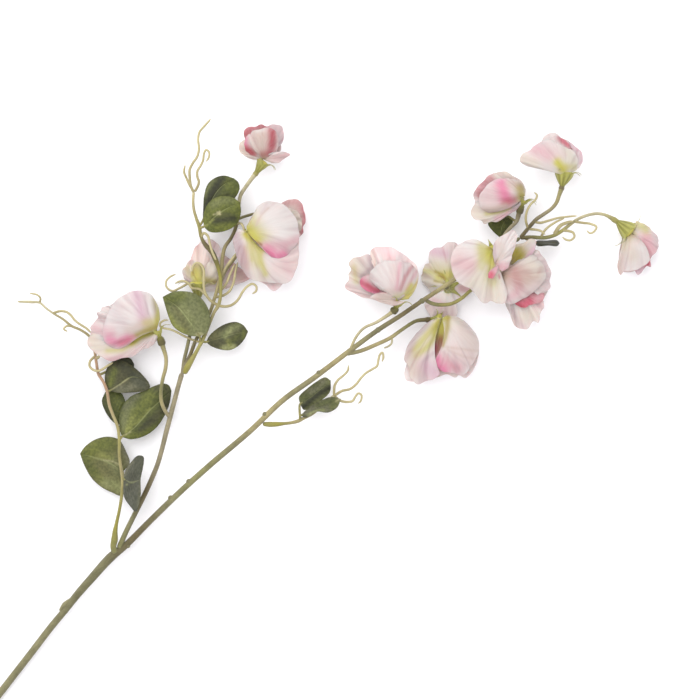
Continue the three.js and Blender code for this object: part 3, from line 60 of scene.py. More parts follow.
# The stub that carries the two lower stalks, and the stalks of the right-hand blooms.
MAIN_STEM_BRANCHES = [
    ([(346, 354, 19.5), (360, 351, 18.8), (375, 345, 18.2), (390, 338, 18), (400, 331, 17), (408, 325.5, 15),
     (416, 321, 12.5), (424, 319.8, 10.6), (430, 319.6, 9.6)], [1.3, 1.3, 1.25, 1.2, 1.1, 1.1, 1.15, 1.3,
     1.5]),
    ([(350, 350, 20.5), (356, 337, 21.5), (364, 328, 21.8), (376, 322.5, 21.8), (388, 315, 22),
     (395.3, 309.5, 22)], [0.9, 0.9, 0.9, 0.95, 1.1, 1.6]),
    ([(392, 337, 18.2), (391.5, 343.5, 17), (388, 346.5, 16.5), (384, 348, 16)], [0.7, 0.6, 0.6, 0.5]),
    ([(425, 300, 22), (432, 303.5, 20), (440, 304.8, 18), (452, 303.5, 17), (462, 298, 17), (470, 291, 17),
     (482, 283, 17.5), (490, 278.8, 18), (497, 275.6, 18.4)], [1.2, 1.2, 1.2, 1.15, 1.1, 1.1, 1.1, 1.2, 1.5]),
    ([(445, 286, 22.2), (447.4, 288.4, 18.9)], [1.2, 1.4]),
    ([(492, 255.4, 19.5), (492, 252.4, 21.9)], [1.1, 1.3]),
    ([(500, 250, 19.5), (504, 236, 19), (510, 228, 19), (516, 222, 19.5), (518.6, 214, 20),
     (520.6, 207.2, 20.7)], [1.1, 1.1, 1.1, 1.2, 1.6, 1.8]),
    ([(520, 238, 19.5), (525, 232, 20), (530, 226, 20.5), (536, 219.5, 21), (544, 214, 21), (551, 209, 21),
     (556, 203, 20.6), (558.6, 196, 20.2), (560.8, 189.5, 20), (561.5, 187, 20)], [1.2, 1.2, 1.2, 1.2, 1.15,
     1.1, 1.2, 1.25, 1.6, 1.5]),
    ([(520, 238, 19.5), (530, 237.2, 19), (545, 237.6, 18), (555, 235, 17.5), (563, 230, 17),
     (570, 224.5, 16.5), (578, 219, 16), (588, 215, 15.6), (598, 213.5, 15), (606, 215, 14.2),
     (612, 218, 13.5), (617, 221, 13)], [1.2, 1.2, 1.2, 1.1, 1.1, 1.05, 1.0, 1.0, 1.0, 1.0, 1.4, 1.6])]
TIP_TENDRILS = [
    ([(534, 222, 20.8), (540, 223, 21.5), (548, 221, 22), (556, 218.6, 22), (566, 217, 21), (577, 216, 20)],
     [0.7, 0.5]),
    ([(541, 237, 18.4), (545, 230, 20), (555, 222.5, 21), (564, 218.5, 21.5)], [0.7, 0.5]),
    ([(554, 235, 17.6), (560, 226, 18), (566, 223, 18.2), (574, 221, 18)], [1.1, 0.7]),
    ([(574, 221.6, 17.6), (583, 223, 19), (590, 224, 20), (596, 227, 20.5), (594, 231.5, 20.5),
     (590, 233.4, 20.5), (586, 230.6, 20.5)], [0.7, 0.5]),
    ([(563, 230.5, 17.2), (568, 231, 19), (573, 233, 20), (574, 237, 20.5), (570, 240.5, 20.5),
     (565, 239.5, 20), (562, 237, 20)], [0.7, 0.5]),
    ([(528, 229, 20.3), (525.5, 221, 22), (526.4, 212, 23), (530, 205, 23.5), (535, 200, 24),
     (536.4, 195.6, 24), (533.4, 192.6, 24)], [0.7, 0.5]),
    ([(528, 229, 20.3), (540, 231, 21.5), (545, 235, 22.3)], [0.7, 0.5])]
SIDE_STEM = ([(118, 549, 10.8), (126, 531, 11.2), (135, 513, 11.5), (143, 497, 11.7), (150, 482, 12),
    (157, 465, 12.5), (162, 448, 13), (166, 432, 13.5), (170, 417, 14), (174, 402, 14.4), (178, 387, 14.8),
    (182, 373, 15)], [1.7, 1.6, 1.55, 1.55, 1.55, 1.5, 1.5, 1.55, 1.55, 1.5, 1.5, 1.6])
SIDE_STEM_BRANCHES = [
    ([(182, 375, 14.8), (184, 360, 14.2), (187, 347, 13.6), (190, 333, 13.2), (193, 318, 12.4),
     (196, 306, 11.9), (198, 300, 11.7)], [1.2, 1.2, 1.15, 1.1, 1.1, 1.2, 1.5]),
    ([(182, 372, 15.2), (190, 355, 15.8), (195, 342, 16), (203, 326, 16.2), (210, 312, 16.4),
     (214, 300, 16.6), (217, 290, 16.8), (219.5, 280, 17), (221.5, 270, 17.2), (222.4, 258, 17.2),
     (225, 247, 17), (231, 238, 16.4), (235.5, 228, 15.4), (237.5, 218, 14.2), (238.5, 206, 13.4),
     (240.5, 195, 13.6), (245.5, 187, 14.6), (251, 179.5, 15.8), (256, 173.2, 16.8)], [1.2, 1.2, 1.15, 1.1,
     1.1, 1.1, 1.1, 1.15, 1.2, 1.2, 1.15, 1.1, 1.1, 1.1, 1.1, 1.2, 1.2, 1.3, 1.6]),
    ([(170, 418, 14), (165, 411, 15), (161.4, 402, 16), (161, 390, 17), (163, 378, 17.4), (165.6, 368, 17.5),
     (166, 358, 17.4), (163.6, 349, 17.2), (160.4, 339.5, 17)], [1.3, 1.2, 1.15, 1.1, 1.15, 1.2, 1.2, 1.4,
     2.0]),
    ([(219.6, 284, 17), (225, 271, 15.4), (232, 261.5, 13.6), (238, 253, 12.6), (242, 245, 14),
     (243, 240, 17)], [1.1, 1.1, 1.0, 1.0, 1.1, 1.3]),
    ([(237.4, 219, 14.4), (246, 215.5, 9), (256, 213, 6.6), (268, 213.5, 6), (277, 217, 6.6),
     (282.6, 219.4, 7.8)], [0.9, 0.9, 0.9, 0.9, 0.95, 1.2])]
SIDE_STEM_TENDRILS = [
    ([(221.5, 276, 17), (227, 266, 18.4), (233, 258, 18.6), (238, 251.5, 18)], [0.8, 0.6]),
    ([(215.4, 297, 16.6), (222, 296, 17.4), (229, 291.6, 18), (233.4, 283, 18), (235.6, 271, 17.4),
     (237.6, 262, 16.8)], [0.7, 0.6]),
    ([(218.4, 293, 16.8), (226, 284, 17.6), (230.6, 273, 17.8), (235, 264, 17.4)], [0.7, 0.6]),
    ([(236.6, 224, 15), (240.6, 223.4, 17.4), (243.4, 227, 19.6), (244.2, 232, 21)], [0.7, 0.6])]
# The leafy twigs: an axis, then its tendrils.
TWIGS = dict(
    twig_a=(([(114.4, 554, 10.4), (112.8, 547, 12), (114, 540, 12.8), (114.6, 532, 13), (116, 524, 13),
         (119, 510, 13), (121, 498, 13.2), (122.2, 480, 14), (121, 470, 14.2), (119, 455, 14.2),
         (119, 440, 14.2), (117.4, 427, 14), (112.6, 415, 13.8), (109, 405, 13.6), (106.6, 391, 13.4),
         (103, 382, 12.8), (98, 374, 12), (95.6, 362, 10.6), (93.6, 350, 9.2), (89, 337, 8.6), (80, 330, 9),
         (71, 326, 9.2), (62, 319, 9.2), (52, 313, 8.8), (45, 308, 8.6), (38.6, 302.6, 8.4), (30, 301.8, 8.2),
         (16, 301.4, 8)], [2.0, 1.9, 2.2, 1.6, 1.1, 1.0, 1.0, 1.05, 1.0, 0.95, 1.0, 1.0, 0.95, 0.95, 0.95,
         0.9, 1.0, 0.9, 0.9, 0.85, 0.8, 0.8, 0.75, 0.7, 0.7, 0.7, 0.95, 0.7]), [
        ([(38.6, 302.6, 8.4), (39.4, 298, 9), (36, 294.6, 9.4), (28, 293, 9.4)], [0.6, 0.5]),
        ([(71, 326, 9.2), (66, 326, 10.4), (63, 329, 10.8), (67, 331.6, 10.8)], [0.6, 0.5]),
        ([(52, 313, 8.8), (60, 311, 10.4), (66, 312, 11), (70, 315, 11.2), (74, 320, 11.2), (79, 324, 11),
         (86, 328.5, 10.4), (90.5, 333, 10)], [0.7, 0.6]),
        ([(94.6, 356, 9.8), (89.6, 361, 11), (89, 366, 12), (92, 369.4, 12.8), (97.4, 371, 14.4),
         (102, 369.4, 14.6), (107, 366, 14.6), (113, 362.4, 14.4)], [0.7, 0.6]),
        ([(95.4, 359, 10.2), (98.6, 356, 11), (99.4, 353.6, 11.6)], [0.9, 0.7])]),
    twig_b=(([(184.6, 374, 18.6), (187, 368, 18.8), (190.6, 361.6, 18.8), (195.4, 353.6, 18.6),
         (199, 347, 18.4), (202, 341, 18.2), (206, 332, 18), (210, 322, 18.2), (214.4, 312, 19),
         (218.4, 305.6, 20), (220.6, 297, 20.6), (221, 288, 21), (220.8, 279, 21.2), (219, 270, 21.4),
         (216.4, 261.4, 21.6), (212, 252, 21.6), (205.6, 245, 21.4), (201.4, 237, 21.2), (199.6, 227, 21),
         (196.4, 218, 20.8), (194, 209, 20.6), (193.4, 200, 20.4), (194, 192, 20.2)], [1.3, 2.0, 1.8, 1.2,
         1.1, 1.3, 1.1, 1.05, 1.05, 1.2, 1.0, 1.0, 1.05, 1.2, 1.6, 1.7, 1.4, 1.0, 1.2, 0.95, 0.9, 0.85,
         0.9]), [
        ([(194, 193, 20.2), (191, 186, 20.6), (190, 178, 21), (190, 170, 21.2), (193, 163.6, 21.2),
         (197.4, 157, 21), (199.2, 149, 20.8), (198.4, 140, 20.6), (199.6, 132.6, 20.4), (204, 127, 20.2),
         (208, 122.6, 20), (211, 119, 20)], [0.75, 0.6]),
        ([(195, 192, 20.2), (198, 186, 19.4), (199, 182, 19), (197.4, 176.6, 18.6), (197.6, 171, 18.4),
         (200.6, 166, 18.2), (203.2, 160, 18), (204, 154, 18), (206, 150, 18), (209, 152, 18), (209, 157, 18),
         (206, 162, 18.2)], [0.7, 0.55]),
        ([(194, 192, 20.2), (189.4, 184.6, 19), (186.4, 178, 18), (184.2, 171.6, 17.6), (185.2, 164.6, 17.4)],
         [0.7, 0.55]),
        ([(186.6, 178.6, 18.2), (183, 171.4, 19)], [0.55, 0.5]),
        ([(218.4, 305.6, 20), (225, 306.6, 20.6), (232, 305, 21), (238, 300, 21), (243, 291.6, 20.6),
         (248, 286, 20.2), (253, 284, 20), (256.6, 287, 20), (256, 291.4, 20), (252, 294, 20)], [0.75, 0.55]),
        ([(218.4, 305.6, 20), (212, 301.6, 21), (207, 296, 21.6), (204.4, 289, 21.8), (204.2, 279, 21.6),
         (204, 270, 21.2), (201, 264.6, 21), (197, 263, 20.8), (193.4, 266, 20.6), (192, 272, 20.4)], [0.75,
         0.6]),
        ([(201, 238, 21.2), (204, 233.4, 22.2), (208, 236, 23), (210.4, 245, 23.4), (213.4, 254, 23.6),
         (216.6, 261, 22.8)], [0.7, 0.6]),
        ([(202, 342, 18), (196, 341, 16.4), (186, 337, 17), (172, 330, 18), (161, 327, 18.6),
         (160.4, 323.4, 19), (164, 320.6, 19.4), (169, 320, 19.4)], [0.6, 0.5]),
        ([(207, 296, 21.6), (200, 289.5, 19.6), (192, 288, 18.4), (188, 283, 18), (182, 281, 18),
         (174.6, 283.6, 18)], [0.7, 0.55]),
        ([(188, 283.4, 18), (180, 288, 17.6), (172, 291, 17.6), (166.4, 286.6, 17.6), (166.4, 281, 17.6),
         (170, 277, 17.6), (176, 274, 17.6)], [0.6, 0.5])]),
    twig_c=(([(262.6, 424, 14.2), (270, 424.4, 14.4), (277, 424.2, 14.8), (284, 423.6, 15),
         (291, 422.8, 15.2), (298, 421, 15.6), (304, 418, 16), (312, 414, 15.4), (322, 406, 14.8),
         (329, 400, 14.6), (334, 395.4, 14.8)], [1.3, 1.7, 1.5, 1.0, 1.0, 1.2, 1.0, 0.9, 0.8, 0.8, 0.9]), [
        ([(334, 396, 14.8), (334.6, 386, 15.6), (338, 380, 16), (344, 375, 16.2), (348, 370, 16.4),
         (348.4, 365, 16.6)], [0.7, 0.55]),
        ([(334, 396, 14.8), (342, 391, 16), (350, 389, 16.6), (356, 384.4, 17), (361, 378, 17.2),
         (366, 373, 17.2), (372, 369.4, 17), (377, 366, 16.8), (378.4, 360, 16.6), (380, 354.6, 16.4),
         (382.4, 352.6, 16.2), (383.4, 357, 16), (382, 362, 16)], [0.7, 0.55]),
        ([(334, 396, 14.8), (341, 401, 13.4), (348, 402, 13.4), (352.6, 401, 13.6), (355.4, 396.6, 14),
         (358.4, 393.4, 14.2), (361.4, 395, 14.4), (361, 400.6, 14.6), (358, 404, 14.8)], [0.7, 0.55])]))

# ---- the leaves: midrib, left and right margin from the base to the tip, and stalk ---------
LEAVES = dict(
    leaf_a1=([(122, 472, 10), (108, 463, 9.2), (94, 458, 8.4), (79, 454, 7.6)], [(129, 464, 9.4),
        (125, 451, 8.6), (118, 440, 8.2), (106, 437, 8), (94, 440, 8), (84, 447, 7.8)], [(128, 483, 9.4),
        (121, 496, 8.8), (111, 493, 8), (101, 488, 7.6), (91, 479, 7.4), (83, 465, 7.4)], [(122, 472, 10),
        (122.4, 475.5, 12), (122.2, 479, 14)]),
    leaf_a2=([(123.6, 479, 15.6), (132, 482, 23), (141.6, 479, 30)], [(125.6, 470, 16.4), (131, 462.6, 20),
        (138.4, 455.4, 25), (144.6, 456.6, 28.4)], [(124, 496, 17), (130.6, 506, 21), (136.6, 511, 25),
        (141.4, 497, 28.4)], [(123.6, 479, 15.6), (122.2, 478, 14)]),
    leaf_a3=([(121.4, 437, 12.6), (135, 427, 12.6), (150, 410, 12), (171, 391, 10.4)], [(119.4, 430, 12),
        (118.4, 418, 11), (122, 406, 10.4), (130, 396.6, 10), (142, 391.6, 10), (154, 386, 10),
        (163, 383.6, 10), (168.4, 385.6, 10.2)], [(130, 439.4, 12), (141, 437.4, 11.2), (151, 432, 11),
        (159, 424, 10.8), (165.4, 413, 10.6), (169.4, 402, 10.4)], [(121.4, 437, 12.6), (119.2, 440, 14)]),
    leaf_a4=([(117, 426, 8.6), (112, 411, 8), (104, 392.6, 6.6)], [(110, 420, 7.6), (104, 411, 6.8),
        (100.8, 401, 6.4)], [(122, 418, 7.6), (125, 404, 7), (119, 392, 6.6), (110, 388.6, 6.4)],
        [(117, 426, 8.6), (117.4, 428.6, 11), (117.6, 429, 13.6)]),
    leaf_a5=([(108.6, 391, 12.6), (119, 384.6, 12.4), (132, 377, 12), (148, 382, 11)], [(104.4, 381, 11.8),
        (106, 369, 11.2), (112, 361.4, 11), (122, 360.6, 11), (131, 365.4, 11), (140, 373, 11)],
        [(119, 393, 12), (134, 392.4, 11.4), (144.6, 391, 11), (149.6, 387, 10.8)], [(108.6, 391, 12.6),
        (106.6, 391, 13.2)]),
    leaf_a6=([(112, 368, 8.8), (122, 364.6, 9), (133.4, 364, 8)], [(114, 361, 8.4), (121, 358, 8),
        (129, 358, 8)], [(116, 374, 8.4), (124, 376, 8.2), (132, 371.6, 8)], [(112, 368, 8.8),
        (105, 372, 9.6), (98.6, 375, 11.8)]),
    leaf_b1=([(200, 336.6, 21.2), (190, 322, 22.8), (179, 308, 23), (163, 297, 21)], [(190, 335.6, 21),
        (180, 331.6, 21), (172.6, 325, 21), (168, 314, 21), (165, 304, 20.8)], [(206.4, 333, 20.8),
        (210, 323, 21.2), (209.6, 312, 21.8), (204, 301, 22.2), (196, 294, 22.2), (185, 291.4, 22),
        (173.4, 292, 21.4)], [(200, 336.6, 21.2), (200.6, 340, 19.8), (201.8, 341.8, 18.2)]),
    leaf_b2=([(206, 342, 17.4), (220, 338, 17), (234, 334, 16.4), (248, 331.6, 14.4)], [(210, 335, 16.6),
        (218, 328, 15.6), (227, 323.4, 15), (236, 322, 14.6), (243, 325, 14.4)], [(211, 346, 16.6),
        (220, 349.4, 15.8), (230, 350, 15), (238, 346, 14.6), (244, 339.6, 14.4)], [(206, 342, 17.4),
        (202.4, 341.6, 18)]),
    leaf_b3=([(203, 221, 20), (209, 205, 19.4), (220, 188, 18.6), (234, 178.4, 17.4)], [(203.4, 208, 19),
        (204.4, 195, 18.4), (208, 184, 18), (215, 178, 17.6), (224, 175.6, 17.4)], [(214, 216, 19),
        (226, 207, 18.4), (235, 198, 18), (239.6, 189, 17.6), (238.4, 182.6, 17.4)], [(203, 221, 20),
        (200.2, 225.6, 20.8)]),
    leaf_b4=([(204, 227, 22.8), (213, 219, 24.2), (225, 210, 24.4), (240.4, 203, 22.6)], [(204, 216, 23),
        (207, 206, 23.2), (214, 199, 23.2), (223, 196.4, 22.8), (232.6, 197.6, 22.6)], [(210, 232, 22.8),
        (219, 232.6, 22.8), (229, 230, 22.8), (237, 224.4, 22.6), (241, 213.6, 22.6)], [(204, 227, 22.8),
        (200.4, 228, 21.4)]),
    leaf_c1=([(300, 404, 13.6), (311, 397, 13), (322, 388, 12.4), (330.6, 380.6, 11)], [(299, 397, 13),
        (306, 389.6, 12), (316, 382, 11.4), (325, 377.4, 11)], [(304, 410, 13), (312, 407, 12.2),
        (322, 400, 11.8), (330, 391.6, 11.2)], [(300, 404, 13.6), (299.6, 412, 14.4), (300.4, 419.6, 15.4)]),
    leaf_c2=([(300.6, 415.6, 18), (312, 410.6, 18.6), (325, 405, 18.6), (341, 399, 17.4)],
        [(304.6, 411.4, 17), (312, 405.6, 16.6), (320, 401, 16.4), (331, 397, 16.6)], [(306, 417.6, 19.4),
        (317, 411.6, 21.6), (328, 412.4, 21.8), (337, 407.6, 19.6)], [(300.6, 415.6, 18), (299.8, 420, 16)]),
    leaf_d1=([(508, 216, 13), (503, 225, 12.4), (500, 237, 11)], [(497, 216, 12.4), (488.4, 223, 11.6),
        (493, 230.6, 11.2)], [(513, 219, 12.4), (511.6, 226.4, 11.8), (506, 233, 11.2)], [(508, 216, 13),
        (513, 219.4, 15), (517.4, 221.6, 18.6)]),
    leaf_d2=([(534, 243, 16), (547, 243, 14.6), (560, 243, 12.6)], [(538, 240.4, 12), (547, 240.2, 9),
        (557, 239.8, 8.6)], [(538, 246, 17.6), (548, 245.6, 18.6), (557, 246, 17)], [(534, 243, 16),
        (529, 240.4, 17), (524, 238, 19)]))
# Ground shade of each leaf, then strokes on it: shade, strength, half width, then grid places.
LEAF_STROKES = dict(
    leaf_a1=("olive", ("moss", 0.9, 9, 86, 454, 96, 446, 108, 443),
        ("green", 0.7, 4, 82, 455, 86, 466, 92, 474), ("sage", 0.6, 5, 112, 462, 118, 472),
        ("grey", 0.8, 4, 122, 444, 128, 458, 129, 466), ("lime", 0.6, 3, 101, 456, 110, 458),
        ("pale", 0.7, 5, 104, 483, 114, 485, 120, 490), ("straw", 0.6, 0.7, 103, 460.5, 112, 461.5, 119, 465),
        ("moss", 0.5, 4, 92, 470, 100, 480)),
    leaf_a2=("slate", ("black", 0.6, 4, 131, 487, 134, 476), ("grey", 0.7, 1.2, 124, 478, 129, 467, 134, 461),
        ("grey", 0.7, 1.4, 142, 478, 142, 492, 139, 506), ("pale", 0.6, 0.9, 127, 484.6, 128, 484.4)),
    leaf_a3=("green", ("sage", 0.8, 5, 122, 428, 125, 416, 131, 408),
        ("lime", 0.8, 3.4, 127, 432, 131, 420, 134, 412), ("moss", 0.8, 5, 137, 412, 146, 402, 150, 396),
        ("grey", 0.5, 2.6, 124, 408, 131, 401, 137, 396),
        ("dark", 0.9, 4.6, 142, 431, 152, 421, 162, 411, 167, 403), ("black", 0.4, 2, 141, 428, 152, 417),
        ("lime", 0.7, 1.3, 135, 424, 143, 416, 149, 409), ("moss", 0.7, 2.6, 126, 437, 141, 435, 153, 428),
        ("dark", 0.7, 4, 157, 388, 166, 388, 169, 396), ("straw", 0.5, 0.8, 122, 436.4, 130, 432)),
    leaf_a4=("green", ("black", 0.6, 3, 102, 397, 105, 409, 110, 419), ("moss", 0.4, 4, 115, 398, 119, 410)),
    leaf_a5=("dark", ("moss", 0.8, 3.4, 110, 384, 112, 376, 114, 370),
        ("black", 0.7, 4, 118, 364, 127, 369, 133, 377), ("grey", 0.8, 4.4, 118, 390, 127, 389, 136, 384),
        ("slate", 0.8, 5, 136, 378, 143, 385), ("straw", 0.5, 0.7, 110, 390.4, 119, 385, 128, 378.6)),
    leaf_a6=("black", ("dark", 0.5, 3, 126, 362, 130, 368)),
    leaf_b1=("sage", ("moss", 0.9, 5, 165, 298, 174, 299, 182, 296), ("green", 0.6, 2.6, 168, 304, 176, 304),
        ("lime", 0.9, 4, 169, 318, 174, 327, 184, 332), ("olive", 0.7, 4, 176, 308, 182, 318, 187, 328),
        ("green", 0.5, 2, 195, 296, 202, 304, 207, 312), ("pale", 0.5, 3, 184, 306, 192, 320),
        ("pale", 0.6, 0.7, 179, 308, 188, 319, 195, 330), ("straw", 0.7, 1.6, 197, 334, 203, 334.6)),
    leaf_b2=("dark", ("olive", 0.7, 4, 211, 336, 218, 334), ("sage", 0.9, 4, 224, 336, 231, 329, 238, 326),
        ("pale", 0.7, 2, 226, 335, 231, 329), ("pale", 0.85, 3.4, 224, 348, 233, 347),
        ("lime", 0.6, 2, 228, 341, 230, 345), ("black", 0.5, 2, 221, 338, 223, 343),
        ("green", 0.7, 3, 232, 341, 238, 336), ("moss", 0.6, 2, 244, 331, 243, 338)),
    leaf_b3=("green", ("black", 1.0, 5, 206, 210, 210, 198, 216, 188, 221, 181),
        ("sage", 0.6, 1.8, 205, 196, 209, 186, 214, 180), ("moss", 0.7, 5, 229, 186, 236, 192),
        ("dark", 0.6, 3, 226, 196, 236, 198)),
    leaf_b4=("moss", ("sage", 0.6, 4, 214, 205, 222, 201, 232, 201),
        ("black", 0.9, 4, 215, 221, 224, 220, 234, 219), ("dark", 0.5, 2.4, 218, 214.4, 230, 215),
        ("lime", 0.6, 1.3, 206, 226, 214, 220), ("straw", 1.0, 1.1, 217.4, 214.6, 220, 212.4),
        ("straw", 1.0, 0.9, 218, 212.6, 220.4, 214.6), ("straw", 0.6, 0.8, 214, 215, 217, 214),
        ("green", 0.6, 2, 208, 230, 222, 231.6)),
    leaf_c1=("sage", ("grey", 0.8, 4, 306, 394, 314, 388, 322, 381), ("green", 0.8, 3.4, 302, 398, 307, 396),
        ("green", 0.5, 2, 314, 386, 318, 384), ("black", 1.0, 3.4, 303, 407, 311, 400, 320, 393, 329, 388)),
    leaf_c2=("grey", ("green", 0.8, 3, 318, 405, 327, 402, 335, 400), ("dark", 0.9, 2, 301, 416, 306, 417),
        ("pale", 0.7, 1.2, 308, 415, 316, 410.6, 324, 410), ("straw", 0.7, 1.3, 336, 401.6, 340, 399),
        ("moss", 0.6, 3, 332, 407, 337, 404), ("dark", 0.5, 1.4, 308, 408.6, 318, 403.4)),
    leaf_d1=("green", ("black", 0.5, 3, 505, 232, 508, 226), ("moss", 0.5, 3, 501, 222, 504, 226)),
    leaf_d2=("black", ("dark", 0.8, 1.0, 540, 243, 556, 242.6)))


# ---- the blooms -----------------------------------------------------------------------------
def blade(part, belly, *rim, **more):
    """A petal: how far its middle stands above its flat sheet, or hangs below it, and its margin."""
    return dict(part=part, belly=belly, rim=rim, **more)


